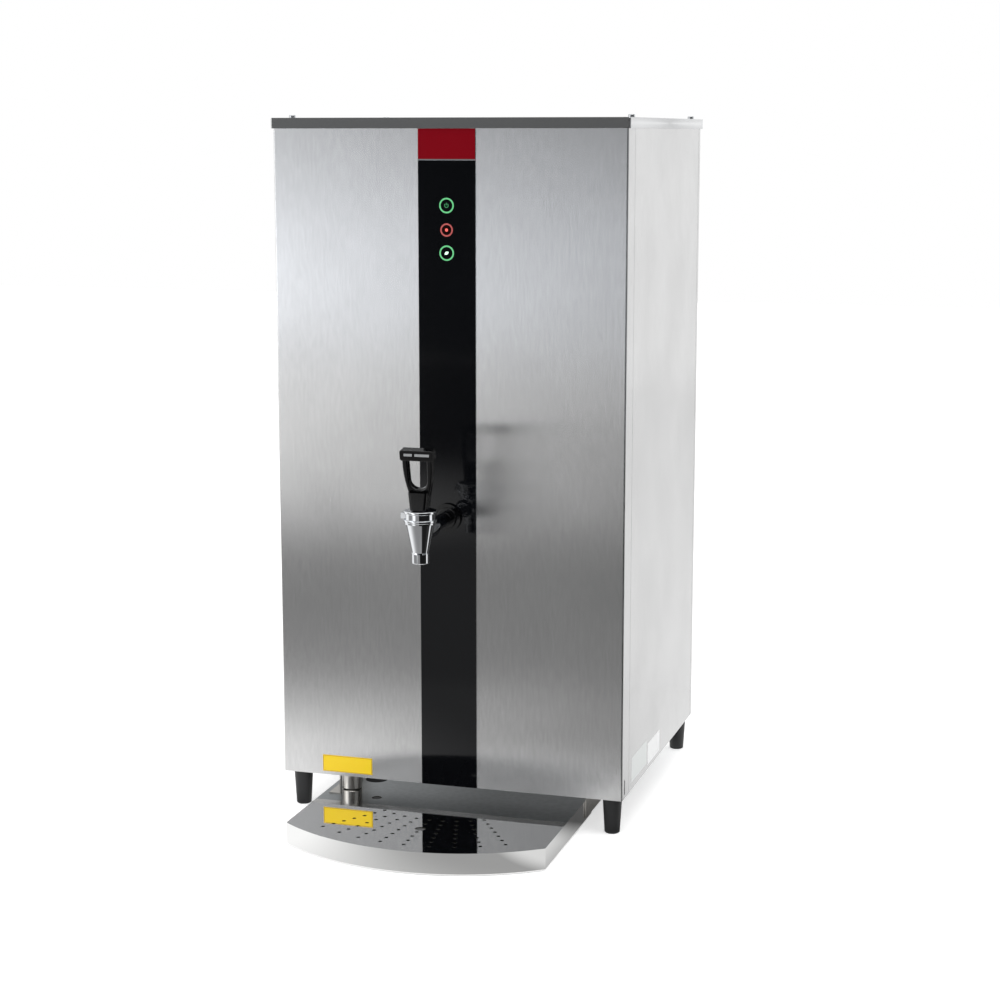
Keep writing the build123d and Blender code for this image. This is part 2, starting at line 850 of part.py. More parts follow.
with BuildPart() as tap_stem:
    with BuildSketch(Plane.XY.offset(collar_z)):
        with Locations((0, tap_y)):
            Circle(stem_radius)
    extrude(amount=pin_z + stem_above_pin - collar_z)
    chamfer(tap_stem.edges().group_by(Axis.Z)[-1], 0.8)
    with BuildSketch(Plane.XY.offset(collar_z)):
        with Locations((0, tap_y)):
            Circle(stem_collar_radius)
    extrude(amount=stem_collar_height)
    with BuildSketch(Plane.XY.offset(stem_foot)):
        with Locations((0, tap_y)):
            Circle(stem_tang_radius)
    extrude(amount=collar_z - stem_foot)
    with Locations(Plane(origin=(0, tap_y, pin_z), z_dir=(1, 0, 0))):
        Cylinder(pin_radius + fit_gap, neck_width, mode=Mode.SUBTRACT)
write(tap_stem.part, "tap_stem")

with BuildPart() as seat_cup:
    with BuildSketch(Plane.XY.offset(cup_foot)):
        with Locations((0, tap_y)):
            Circle(cup_radius)
    extrude(amount=cup_height)
    fillet(seat_cup.edges().group_by(Axis.Z)[-1], cup_rounding)
    with BuildSketch(Plane.XY.offset(stem_foot - fit_gap)):
        with Locations((0, tap_y)):
            Circle(stem_tang_radius + fit_gap)
    extrude(amount=cup_height, mode=Mode.SUBTRACT)
write(seat_cup.part, "seat_cup")

spring_foot = collar_z + stem_collar_height + touch_gap + spring_wire / 2
spring_head = spring_room_top - touch_gap - spring_wire / 2
spring_radius = (stem_radius + spring_room_radius) / 2
with BuildPart() as tap_spring:
    with BuildLine():
        Helix(
            (spring_head - spring_foot) / spring_turns,
            spring_head - spring_foot,
            spring_radius,
            center=(0, tap_y, spring_foot),
        )
    with BuildSketch(Plane(origin=(spring_radius, tap_y, spring_foot), z_dir=(0, 1, 0))):
        Circle(spring_wire / 2)
    sweep(is_frenet=True)
write(tap_spring.part, "tap_spring")

handle_foot = bonnet_top + lever_gap
neck_top = handle_foot + neck_height
lean = radians(lever_lean)
loop_plane = Plane(
    origin=(0, tap_y, neck_top),
    x_dir=(1, 0, 0),
    z_dir=(0, -cos(lean), -sin(lean)),
)

with BuildPart() as tap_handle:
    through_loop = Axis(loop_plane.origin, loop_plane.z_dir)
    arm_top = loop_height + bar_overlap
    with BuildSketch(loop_plane) as loop_face:
        with BuildLine():
            Line((-neck_width / 2, -neck_overlap), (neck_width / 2, -neck_overlap))
            Line((loop_top_width / 2, arm_top), (-loop_top_width / 2, arm_top))
            for side in (-1, 1):
                ThreePointArc(
                    (side * neck_width / 2, -neck_overlap),
                    (side * loop_middle_width / 2, loop_height / 2),
                    (side * loop_top_width / 2, arm_top),
                )
        make_face()
        with BuildLine():
            Polyline(
                (-window_foot_width / 2, loop_height - window_height),
                (window_foot_width / 2, loop_height - window_height),
                (window_top_width / 2, arm_top),
                (-window_top_width / 2, arm_top),
                (-window_foot_width / 2, loop_height - window_height),
            )
        make_face(mode=Mode.SUBTRACT)
        fillet(loop_face.vertices().group_by(Axis.Y)[1], window_radius)
    extrude(amount=loop_depth / 2, both=True)
    loop_sides = tap_handle.faces().sort_by(through_loop)
    fillet(loop_sides[0].edges() + loop_sides[-1].edges(), loop_rounding)
    with BuildSketch(loop_plane):
        with Locations((0, loop_height)):
            RectangleRounded(bar_width, bar_height, bar_rounding, align=(Align.CENTER, Align.MIN))
    extrude(amount=bar_depth / 2, both=True)
    bar_sides = tap_handle.faces().sort_by(through_loop)
    fillet(bar_sides[0].edges() + bar_sides[-1].edges(), bar_edge_rounding)
    for height, width in ((handle_foot, neck_foot_width), (neck_top + neck_overlap, neck_width)):
        with BuildSketch(Plane.XY.offset(height)):
            with Locations((0, tap_y + (neck_back - neck_front) / 2)):
                RectangleRounded(width, neck_front + neck_back, neck_rounding)
    loft()
    fillet(tap_handle.edges().group_by(Axis.Z)[0], neck_heel)
    with BuildSketch(Plane.YZ):
        with Locations((tap_y - neck_front + neck_wall, handle_foot)):
            Rectangle(
                neck_front + neck_back,
                pin_z + neck_slot_top - handle_foot,
                align=(Align.MIN, Align.MIN),
            )
    extrude(amount=stem_radius + lever_gap, both=True, mode=Mode.SUBTRACT)
    with Locations(Plane(origin=(0, tap_y, pin_z), z_dir=(1, 0, 0))):
        Cylinder(pin_radius + fit_gap, neck_width, mode=Mode.SUBTRACT)
write(tap_handle.part, "tap_handle")

with BuildPart() as handle_pin:
    with Locations(Plane(origin=(0, tap_y, pin_z), z_dir=(1, 0, 0))):
        Cylinder(pin_radius, pin_length)
    chamfer(handle_pin.edges().filter_by(GeomType.CIRCLE), pin_radius / 5)
write(handle_pin.part, "handle_pin")

shank_front = socket_y + fit_gap
shank_thread_end = inside_front + washer_thickness + shank_nut_thickness + thread_proud

with BuildPart() as tap_shank:
    with Locations(Plane(origin=(0, shank_front, shank_height), z_dir=(0, 1, 0))):
        Cylinder(
            shank_radius,
            shank_thread_end - shank_front,
            align=(Align.CENTER, Align.CENTER, Align.MIN),
        )
    with Locations(Plane(origin=(0, shank_thread_end, shank_height), z_dir=(0, 1, 0))):
        Cylinder(barb_radius, barb_length, align=(Align.CENTER, Align.CENTER, Align.MIN))
    with Locations(Plane(origin=(0, shank_front, shank_height), z_dir=(0, 1, 0))):
        Cylinder(
            water_radius,
            casing_depth,
            align=(Align.CENTER, Align.CENTER, Align.MIN),
            mode=Mode.SUBTRACT,
        )
write(tap_shank.part, "tap_shank")


def shank_ring(outer, start, thickness, name, hub=0.0):
    """Plain ring on the tap's shank, optionally with a coned hub on its front."""
    with BuildPart() as ring:
        with Locations(Plane(origin=(0, start, shank_height), z_dir=(0, 1, 0))):
            Cylinder(outer, thickness, align=(Align.CENTER, Align.CENTER, Align.MIN))
        if hub:
            with BuildSketch(front_plane(start)):
                with Locations((0, shank_height)):
                    Circle(flange_hub_radius)
            extrude(amount=hub, taper=flange_hub_taper)
            fillet(ring.edges().filter_by(GeomType.CIRCLE).group_by(Axis.Y)[0], hub / 4)
        with Locations(Plane(origin=(0, start, shank_height), z_dir=(0, 1, 0))):
            Cylinder(shank_radius + fit_gap, 4 * (thickness + hub), mode=Mode.SUBTRACT)
    write(ring.part, name)


flange_y = overlay_y - flange_thickness
shank_ring(flange_radius, flange_y, flange_thickness, "shank_flange", hub=flange_hub)
shank_ring(washer_radius, inside_front, washer_thickness, "shank_washer")

with BuildPart() as shank_nut:
    with BuildSketch(front_plane(inside_front + washer_thickness)):
        with Locations((0, shank_height)):
            RegularPolygon(nut_across_flats / 2, 6, major_radius=False)
            Circle(shank_radius + fit_gap, mode=Mode.SUBTRACT)
    extrude(amount=-shank_nut_thickness)
write(shank_nut.part, "shank_nut")

# ======== tank ========
barb_end = shank_thread_end + barb_length
outlet_y = barb_end + outlet_gap
overflow_at = (overflow_x, panel_y + overflow_y)
overflow_run = (overflow_x, panel_y + overflow_y - tank_y)
overflow_way = hypot(*overflow_run)
overflow_unit = (overflow_run[0] / overflow_way, overflow_run[1] / overflow_way)
overflow_spigot_end = lagging_radius + spigot_length / 2
inlet_spigot_at = (inlet_x, tank_y + inlet_spigot_y)


def tank_spigots(radius, start_depth, mode):
    """Outlet, overflow and inlet pipes of the tank, or their bores."""
    wall = tank_radius - start_depth
    with Locations(Plane(origin=(0, tank_y - wall, shank_height), z_dir=(0, -1, 0))):
        Cylinder(
            radius + barb_radius - spigot_radius,
            tank_y - wall - outlet_y,
            align=(Align.CENTER, Align.CENTER, Align.MIN),
            mode=mode,
        )
    start = (overflow_unit[0] * wall, tank_y + overflow_unit[1] * wall, overflow_outlet_height)
    with Locations(Plane(origin=start, z_dir=(overflow_unit[0], overflow_unit[1], 0))):
        Cylinder(
            radius,
            overflow_spigot_end - wall,
            align=(Align.CENTER, Align.CENTER, Align.MIN),
            mode=mode,
        )
    foot = tank_foot - spigot_length
    with Locations(Plane(origin=(inlet_spigot_at[0], inlet_spigot_at[1], foot))):
        Cylinder(
            radius,
            spigot_length + start_depth,
            align=(Align.CENTER, Align.CENTER, Align.MIN),
            mode=mode,
        )


with BuildPart() as tank:
    with BuildSketch(Plane.XY.offset(tank_foot)):
        with Locations((0, tank_y)):
            Circle(tank_radius)
    extrude(amount=tank_height)
    with BuildSketch(Plane.XY.offset(tank_top - tank_flange_thickness)):
        with Locations((0, tank_y)):
            Circle(tank_radius + tank_flange)
    extrude(amount=tank_flange_thickness)
    tank_spigots(spigot_radius, tank_wall / 2, Mode.ADD)
    with BuildSketch(Plane.XY.offset(tank_foot + tank_wall)):
        with Locations((0, tank_y)):
            Circle(tank_radius - tank_wall)
    extrude(amount=tank_height, mode=Mode.SUBTRACT)
    tank_spigots(spigot_bore, tank_wall * 2, Mode.SUBTRACT)
    with BuildSketch(Plane.XY.offset(tank_foot)):
        with Locations((-element_spread, tank_y), (element_spread, tank_y)):
            Circle(element_boss_radius + fit_gap)
    extrude(amount=tank_wall, mode=Mode.SUBTRACT)
    with BuildSketch(Plane.XY.offset(tank_top - tank_flange_thickness)):
        with Locations((0, tank_y)):
            with PolarLocations(tank_radius + tank_flange / 2, tank_screw_count):
                Circle(screw_radius + fit_gap)
    extrude(amount=tank_flange_thickness, mode=Mode.SUBTRACT)
write(tank.part, "tank")

with BuildPart() as tank_gasket:
    with BuildSketch(Plane.XY.offset(tank_top)):
        with Locations((0, tank_y)):
            Circle(tank_radius + tank_flange)
            Circle(tank_radius - tank_wall, mode=Mode.SUBTRACT)
            with PolarLocations(tank_radius + tank_flange / 2, tank_screw_count):
                Circle(screw_radius + fit_gap, mode=Mode.SUBTRACT)
    extrude(amount=gasket_thickness)
write(tank_gasket.part, "tank_gasket")

probe_places = [(offset_x * probe_spread, tank_y - tank_radius / 2) for offset_x in (-1, 0, 1)]

with BuildPart() as tank_lid:
    with BuildSketch(Plane.XY.offset(lid_seat)):
        with Locations((0, tank_y)):
            Circle(tank_radius + tank_flange)
            with PolarLocations(tank_radius + tank_flange / 2, tank_screw_count):
                Circle(screw_radius + fit_gap, mode=Mode.SUBTRACT)
        with Locations(*probe_places, (sensor_place, tank_y)):
            Circle(bush_radius / 2 + fit_gap, mode=Mode.SUBTRACT)
    extrude(amount=tank_lid_thickness)
write(tank_lid.part, "tank_lid")

with BuildPart() as tank_lid_screws:
    with BuildSketch(Plane.XY.offset(tank_roof)):
        with Locations((0, tank_y)):
            with PolarLocations(tank_radius + tank_flange / 2, tank_screw_count):
                RegularPolygon(screw_head_radius, 6)
    extrude(amount=screw_head_height)
    with BuildSketch(Plane.XY.offset(tank_roof)):
        with Locations((0, tank_y)):
            with PolarLocations(tank_radius + tank_flange / 2, tank_screw_count):
                Circle(screw_radius)
    extrude(
        amount=-(tank_lid_thickness + gasket_thickness + tank_flange_thickness + thread_proud)
    )
write(tank_lid_screws.part, "tank_lid_screws")

with BuildPart() as insulation_jacket:
    with BuildSketch(Plane.XY.offset(tank_foot + lagging_rise)):
        with Locations((0, tank_y)):
            Circle(lagging_radius)
            Circle(tank_radius + piece_gap, mode=Mode.SUBTRACT)
    extrude(amount=lagging_height)
    with Locations(Plane(origin=(0, tank_y - tank_radius, shank_height), z_dir=(0, -1, 0))):
        Cylinder(barb_radius + hose_wall + piece_gap, 3 * lagging, mode=Mode.SUBTRACT)
    overflow_wall = (
        overflow_unit[0] * tank_radius,
        tank_y + overflow_unit[1] * tank_radius,
        overflow_outlet_height,
    )
    with Locations(Plane(origin=overflow_wall, z_dir=(overflow_unit[0], overflow_unit[1], 0))):
        Cylinder(spigot_radius + hose_wall + piece_gap, 3 * lagging, mode=Mode.SUBTRACT)
write(insulation_jacket.part, "insulation_jacket")

with BuildPart() as tank_stand:
    with BuildSketch(Plane.XY.offset(tank_foot - stand_thickness)):
        with Locations((0, tank_y)):
            Circle(tank_radius - piece_gap)
            Circle(tank_radius - stand_ring, mode=Mode.SUBTRACT)
    extrude(amount=stand_thickness)
    with BuildSketch(Plane.XY.offset(floor_z)):
        with Locations((0, tank_y)):
            with PolarLocations(tank_radius - stand_ring / 2, 4):
                Rectangle(stand_post_thickness, stand_post_width)
    extrude(amount=tank_clearance - stand_thickness)
    with BuildSketch(Plane.XY.offset(floor_z)):
        with Locations((0, tank_y)):
            with PolarLocations(tank_radius - stand_ring / 2, 4):
                Rectangle(stand_ring, stand_post_width)
    extrude(amount=stand_thickness)
write(tank_stand.part, "tank_stand")


def heating_element(x, name):
    """U-shaped element on a screwed boss, standing up from the tank's floor."""
    foot = tank_foot + tank_wall
    top = foot + element_height
    with BuildPart() as element:
        with BuildSketch(Plane.XY.offset(tank_foot - element_hex_height)):
            with Locations((x, tank_y)):
                RegularPolygon(element_hex / 2, 6, major_radius=False)
        extrude(amount=element_hex_height)
        with BuildSketch(Plane.XY.offset(tank_foot)):
            with Locations((x, tank_y)):
                Circle(element_boss_radius)
        extrude(amount=tank_wall + element_boss_rise)
        with BuildSketch(Plane.XY.offset(foot)):
            with Locations((x, tank_y - element_loop / 2), (x, tank_y + element_loop / 2)):
                Circle(element_tube_radius)
        extrude(amount=element_height)
        with BuildSketch(Plane(origin=(x, tank_y, top), x_dir=(0, 1, 0), z_dir=(0, 0, -1))):
            with Locations((element_loop / 2, 0)):
                Circle(element_tube_radius)
        revolve(axis=Axis((x, tank_y, top), (1, 0, 0)), revolution_arc=180)
        with BuildSketch(Plane.XY.offset(tank_foot - element_hex_height)):
            with Locations((x, tank_y - element_loop / 2), (x, tank_y + element_loop / 2)):
                Circle(element_tube_radius / 2)
        extrude(amount=-terminal_length)
    write(element.part, name)


heating_element(-element_spread, "heating_element_left")
heating_element(element_spread, "heating_element_right")

with BuildPart() as level_probes:
    for place, length in zip(probe_places, probe_lengths):
        with BuildSketch(Plane.XY.offset(tank_roof)):
            with Locations(place):
                Circle(bush_radius)
        extrude(amount=bush_height)
        with BuildSketch(Plane.XY.offset(lid_seat)):
            with Locations(place):
                Circle(bush_radius / 2)
        extrude(amount=tank_lid_thickness)
        with BuildSketch(Plane.XY.offset(lid_seat)):
            with Locations(place):
                Circle(probe_radius)
        extrude(amount=-length)
write(level_probes.part, "level_probes")

with BuildPart() as temperature_probe:
    with BuildSketch(Plane.XY.offset(tank_roof)):
        with Locations((sensor_place, tank_y)):
            RegularPolygon(bush_radius, 6)
    extrude(amount=sensor_hex_height)
    with BuildSketch(Plane.XY.offset(lid_seat)):
        with Locations((sensor_place, tank_y)):
            Circle(sensor_radius)
    extrude(amount=-sensor_length)
    with BuildSketch(Plane.XY.offset(lid_seat)):
        with Locations((sensor_place, tank_y)):
            Circle(bush_radius / 2)
    extrude(amount=tank_lid_thickness)
write(temperature_probe.part, "temperature_probe")

with BuildPart() as overheat_thermostat:
    with BuildSketch(Plane.XY.offset(tank_roof)):
        with Locations((thermostat_place, tank_y)):
            Circle(thermostat_radius)
    extrude(amount=thermostat_height)
    fillet(overheat_thermostat.edges().group_by(Axis.Z)[-1], thermostat_rounding)
    with BuildSketch(Plane.XY.offset(tank_roof)):
        with Locations((thermostat_place, tank_y)):
            Rectangle(thermostat_strap_length, thermostat_strap_width)
    extrude(amount=thermostat_rounding)
write(overheat_thermostat.part, "overheat_thermostat")

with BuildPart() as outlet_hose:
    hose_start = shank_thread_end + hose_stop
    with Locations(Plane(origin=(0, hose_start, shank_height), z_dir=(0, 1, 0))):
        hose_reach = tank_y - tank_radius - hose_stop - hose_start
        Cylinder(
            barb_radius + hose_wall,
            hose_reach,
            align=(Align.CENTER, Align.CENTER, Align.MIN),
        )
        Cylinder(
            barb_radius + fit_gap,
            hose_reach,
            align=(Align.CENTER, Align.CENTER, Align.MIN),
            mode=Mode.SUBTRACT,
        )
write(outlet_hose.part, "outlet_hose")

# ======== overflow ========
spigot_foot = tray_height + overflow_above_tray
spigot_shoulder = floor_z + overflow_hex_height
spigot_top = spigot_shoulder + overflow_barb_rise

with BuildPart() as overflow_spigot:
    with BuildSketch(Plane.XY.offset(spigot_foot)):
        with Locations(overflow_at):
            Circle(overflow_radius)
    extrude(amount=base_z - spigot_foot)
    with BuildSketch(Plane.XY.offset(base_z)):
        with Locations(overflow_at):
            Circle(overflow_neck_radius)
    extrude(amount=sheet)
    with BuildSketch(Plane.XY.offset(floor_z)):
        with Locations(overflow_at):
            RegularPolygon(overflow_hex / 2, 6, major_radius=False)
    extrude(amount=overflow_hex_height)
    with BuildSketch(Plane.XY.offset(spigot_shoulder)):
        with Locations(overflow_at):
            Circle(spigot_radius)
    extrude(amount=overflow_barb_rise)
    with BuildSketch(Plane.XY.offset(spigot_foot)):
        with Locations(overflow_at):
            Circle(overflow_bore)
    extrude(amount=spigot_top - spigot_foot, mode=Mode.SUBTRACT)
    with BuildSketch(Plane.XY.offset(spigot_foot)):
        with Locations(overflow_at):
            Circle(overflow_radius - overflow_tube_wall)
    extrude(amount=base_z - overflow_tube_wall - spigot_foot, mode=Mode.SUBTRACT)
    chamfer(overflow_spigot.edges().group_by(Axis.Z)[0], 0.6)
write(overflow_spigot.part, "overflow_spigot")


def hose(points, radius, name):
    """Silicone hose along straight runs joined by bends, slipped over the spigots at both ends."""
    with BuildPart() as tube:
        with BuildLine() as route:
            FilletPolyline(*points, radius=hose_bend)
        start = Plane(origin=route.line @ 0, z_dir=route.line % 0)
        with BuildSketch(start):
            Circle(radius + hose_wall)
            Circle(radius + fit_gap, mode=Mode.SUBTRACT)
        sweep()
    write(tube.part, name)


hose(
    (
        (
            overflow_unit[0] * (lagging_radius - hose_overlap),
            tank_y + overflow_unit[1] * (lagging_radius - hose_overlap),
            overflow_outlet_height,
        ),
        (overflow_at[0], overflow_at[1], overflow_outlet_height),
        (overflow_at[0], overflow_at[1], spigot_shoulder + hose_stop),
    ),
    spigot_radius,
    "overflow_hose",
)

# ======== water inlet valve ========
valve_back = inside_back
valve_front = valve_back - valve_length
coil_y = valve_front + coil_size / 2
guide_radius = plunger_radius + fit_gap + guide_wall
coil_z = inlet_height + valve_radius
plunger_foot = inlet_height + plunger_seat

with BuildPart() as inlet_valve:
    with Locations(Plane(origin=(inlet_x, valve_front, inlet_height), z_dir=(0, 1, 0))):
        Cylinder(valve_radius, valve_length, align=(Align.CENTER, Align.CENTER, Align.MIN))
        Cylinder(
            inlet_neck_radius,
            valve_length + sheet + inlet_neck_proud,
            align=(Align.CENTER, Align.CENTER, Align.MIN),
        )
        Cylinder(
            inlet_thread_radius,
            valve_length + sheet + inlet_proud,
            align=(Align.CENTER, Align.CENTER, Align.MIN),
        )
    with BuildSketch(Plane.XY.offset(inlet_height)):
        with Locations((inlet_x, coil_y)):
            Circle(guide_radius)
    extrude(amount=valve_radius + coil_height)
    with Locations(Plane(origin=(inlet_x, valve_front, inlet_height), z_dir=(0, -1, 0))):
        Cylinder(spigot_radius, spigot_length, align=(Align.CENTER, Align.CENTER, Align.MIN))
    with Locations(Plane(origin=(inlet_x, valve_front - spigot_length, inlet_height), z_dir=(0, 1, 0))):
        Cylinder(
            spigot_bore,
            spigot_length + valve_length / 4,
            align=(Align.CENTER, Align.CENTER, Align.MIN),
            mode=Mode.SUBTRACT,
        )
    with Locations(Plane(origin=(inlet_x, back_y + inlet_proud, inlet_height), z_dir=(0, -1, 0))):
        Cylinder(
            inlet_thread_radius - inlet_bore_wall,
            inlet_proud + sheet + valve_length / 4,
            align=(Align.CENTER, Align.CENTER, Align.MIN),
            mode=Mode.SUBTRACT,
        )
    with BuildSketch(Plane.XY.offset(plunger_foot)):
        with Locations((inlet_x, coil_y)):
            Circle(plunger_radius + fit_gap)
    extrude(amount=plunger_length + plunger_travel + guide_wall, mode=Mode.SUBTRACT)
write(inlet_valve.part, "inlet_valve")

with BuildPart() as valve_coil:
    with BuildSketch(Plane.XY.offset(coil_z)):
        with Locations((inlet_x, coil_y)):
            RectangleRounded(coil_size, coil_size, coil_rounding)
            Circle(guide_radius + piece_gap, mode=Mode.SUBTRACT)
    extrude(amount=coil_height - piece_gap)
write(valve_coil.part, "valve_coil")

with BuildPart() as valve_plunger:
    with BuildSketch(Plane.XY.offset(plunger_foot + plunger_lift)):
        with Locations((inlet_x, coil_y)):
            Circle(plunger_radius)
    extrude(amount=plunger_length)
    chamfer(valve_plunger.edges().group_by(Axis.Z)[-1], 0.5)
write(valve_plunger.part, "valve_plunger")

hose(
    (
        (inlet_x, valve_front - hose_stop, inlet_height),
        (inlet_x, inlet_spigot_at[1], inlet_height),
        (inlet_x, inlet_spigot_at[1], tank_foot - hose_stop),
    ),
    spigot_radius,
    "inlet_hose",
)

# ======== electrics ========
shelf_y = panel_y + shelf_front
control_at = (-board_inset_x, shelf_y + shelf_depth / 2)
relay_at = (side_x / 2, shelf_y + shelf_depth * 0.3)
terminal_at = (side_x / 2, shelf_y + shelf_depth * 0.75)

with BuildPart() as electronics_shelf:
    with BuildSketch(Plane.XY.offset(shelf_height)):
        with Locations((0, shelf_y)):
            Rectangle(casing_width - 2 * sheet, shelf_depth, align=(Align.CENTER, Align.MIN))
    extrude(amount=sheet)
    for side in (-1, 1):
        with BuildSketch(Plane.XY.offset(shelf_height)):
            with Locations((side * (side_x - sheet), shelf_y)):
                Rectangle(sheet, shelf_depth, align=(align_out(side), Align.MIN))
        extrude(amount=shelf_flange)
    with BuildSketch(Plane.XY.offset(shelf_z)):
        with Locations(control_at):
            with GridLocations(
                board_length - board_hole_margin, board_breadth - board_hole_margin, 2, 2
            ):
                Circle(board_boss_radius)
    extrude(amount=board_boss_height)
write(electronics_shelf.part, "electronics_shelf")

with BuildPart() as control_board:
    board_z = shelf_z + board_boss_height
    with BuildSketch(Plane.XY.offset(board_z)):
        with Locations(control_at):
            Rectangle(board_length, board_breadth)
    extrude(amount=board_thickness)
    with BuildSketch(Plane.XY.offset(board_z + board_thickness)):
        with Locations((control_at[0] - board_length / 4, control_at[1])):
            Rectangle(*transformer_size)
        with Locations((control_at[0] + board_length / 5, control_at[1] - board_breadth / 5)):
            with GridLocations(board_relay_pitch, 0, 3, 1):
                Rectangle(*board_relay_size)
    extrude(amount=board_part_height)
    with BuildSketch(Plane.XY.offset(board_z + board_thickness)):
        with Locations((control_at[0] + board_length / 5, control_at[1] + board_breadth / 3)):
            Rectangle(*connector_size)
    extrude(amount=board_part_height / 2)
write(control_board.part, "control_board")

with BuildPart() as power_relay:
    with BuildSketch(Plane.XY.offset(shelf_z)):
        with Locations(relay_at):
            Rectangle(relay_width, relay_depth)
    extrude(amount=relay_base)
    with BuildSketch(Plane.XY.offset(shelf_z + relay_base)):
        with Locations(relay_at):
            Rectangle(relay_width * 3 / 4, relay_depth)
    extrude(amount=relay_height - relay_base)
write(power_relay.part, "power_relay")

with BuildPart() as terminal_block:
    with BuildSketch(Plane.XY.offset(shelf_z)):
        with Locations(terminal_at):
            Rectangle(terminal_width, terminal_depth)
    extrude(amount=terminal_height)
    with BuildSketch(Plane.XY.offset(shelf_z + terminal_height)):
        with Locations(terminal_at):
            with GridLocations(terminal_width / 5, terminal_depth / 2, 4, 2):
                Circle(terminal_hole_radius)
    extrude(amount=-terminal_hole_depth, mode=Mode.SUBTRACT)
write(terminal_block.part, "terminal_block")

with BuildPart() as cable_gland:
    with Locations(Plane(origin=(gland_x, back_y, gland_height), z_dir=(0, 1, 0))):
        Cylinder(gland_radius, gland_proud, align=(Align.CENTER, Align.CENTER, Align.MIN))
    fillet(cable_gland.edges().group_by(Axis.Y)[-1], gland_rounding)
    with BuildSketch(back_plane(back_y)):
        with Locations((-gland_x, gland_height)):
            RegularPolygon(gland_hex / 2, 6, major_radius=False)
    extrude(amount=gland_hex_height)
    with Locations(Plane(origin=(gland_x, back_y, gland_height), z_dir=(0, -1, 0))):
        Cylinder(gland_radius, gland_inside, align=(Align.CENTER, Align.CENTER, Align.MIN))
    with BuildSketch(front_plane(inside_back)):
        with Locations((gland_x, gland_height)):
            RegularPolygon(gland_hex / 2, 6, major_radius=False)
    extrude(amount=gland_nut_height)
    with Locations(Plane(origin=(gland_x, back_y, gland_height), z_dir=(0, 1, 0))):
        Cylinder(gland_bore, 4 * gland_proud, mode=Mode.SUBTRACT)
write(cable_gland.part, "cable_gland")

well_width = rocker_width - 2 * rocker_frame
well_height = rocker_tall - 2 * rocker_frame
rocker_pivot_y = back_y - rocker_set_back
tilt = radians(rocker_swing)
rocker_plane = Plane(
    origin=(rocker_x, rocker_pivot_y, rocker_height),
    x_dir=(0, cos(tilt), -sin(tilt)),
    z_dir=(1, 0, 0),
)

with BuildPart() as rocker_housing:
    with BuildSketch(back_plane(back_y)):
        with Locations((-rocker_x, rocker_height)):
            Rectangle(rocker_width + 2 * rocker_bezel, rocker_tall + 2 * rocker_bezel)
    extrude(amount=rocker_bezel)
    with BuildSketch(front_plane(back_y)):
        with Locations((rocker_x, rocker_height)):
            Rectangle(rocker_width, rocker_tall)
    extrude(amount=rocker_depth)
    with BuildSketch(back_plane(back_y - rocker_depth / 2)):
        with Locations((-rocker_x, rocker_height)):
            Rectangle(well_width, well_height)
    extrude(amount=rocker_depth, mode=Mode.SUBTRACT)
    with Locations(rocker_plane):
        Cylinder(trunnion_radius + fit_gap, rocker_width, mode=Mode.SUBTRACT)
    with BuildSketch(front_plane(back_y - rocker_depth)):
        with Locations((rocker_x, rocker_height)):
            with GridLocations(0, blade_pitch, 1, 3):
                Rectangle(blade_width, blade_thickness)
    extrude(amount=blade_length)
write(rocker_housing.part, "rocker_housing")

rocker_half = well_height / 2 - 2 * touch_gap
with BuildPart() as rocker:
    with BuildSketch(rocker_plane):
        with BuildLine():
            Polyline(
                (-rocker_root, 0),
                (-rocker_back, -rocker_half),
                (rocker_face, -rocker_half),
                (rocker_face - rocker_dish, 0),
                (rocker_face, rocker_half),
                (-rocker_back, rocker_half),
                (-rocker_root, 0),
            )
        make_face()
    extrude(amount=(well_width - 2 * touch_gap) / 2, both=True)
    with Locations(rocker_plane):
        Cylinder(trunnion_radius, rocker_width - rocker_frame)
write(rocker.part, "rocker")

# ======== drip tray ========
corner_y = panel_y - tray_reach + tray_sagitta
tray_back_y = panel_y + tray_tongue
tray_front_y = panel_y - tray_reach


def tray_outline(inset):
    """Tray outline: straight back and sides and one long arc across the front."""
    with BuildSketch() as outline:
        with BuildLine():
            Polyline(
                (half_tray, corner_y),
                (half_tray, tray_back_y),
                (-half_tray, tray_back_y),
                (-half_tray, corner_y),
            )
            ThreePointArc((-half_tray, corner_y), (0, tray_front_y), (half_tray, corner_y))
        make_face()
        if inset:
            offset(amount=-inset, kind=Kind.INTERSECTION)
    return outline.sketch


with BuildPart() as tray_cover:
    with BuildSketch(Plane.XY.offset(tray_skirt_gap)):
        add(tray_outline(0.0))
    extrude(amount=tray_height - tray_skirt_gap)
    fillet(tray_cover.edges().filter_by(Axis.Z), tray_corner)
    with BuildSketch(Plane.XY.offset(tray_skirt_gap)):
        add(tray_outline(tray_sheet))
    extrude(amount=tray_height - tray_skirt_gap - tray_sheet, mode=Mode.SUBTRACT)
    with BuildSketch(Plane.XY.offset(tray_height - tray_sheet)):
        for ray in range(fan_rays):
            turn = radians((ray - (fan_rays - 1) / 2) * fan_step)
            for ring in range(fan_rings):
                reach = fan_reach - ring * fan_ring_step
                with Locations((reach * sin(turn), panel_y + fan_apex - reach * cos(turn))):
                    Circle(hole_radius)
    extrude(amount=tray_sheet, mode=Mode.SUBTRACT)
    with BuildSketch(Plane.XY.offset(tray_height - tray_sheet)):
        with Locations(*((x, panel_y + y) for x, y in finger_holes)):
            Circle(finger_hole_radius)
        with Locations((drain_hole[0], panel_y + drain_hole[1])):
            Circle(drain_hole_radius)
    extrude(amount=tray_sheet, mode=Mode.SUBTRACT)
write(tray_cover.part, "tray_cover")

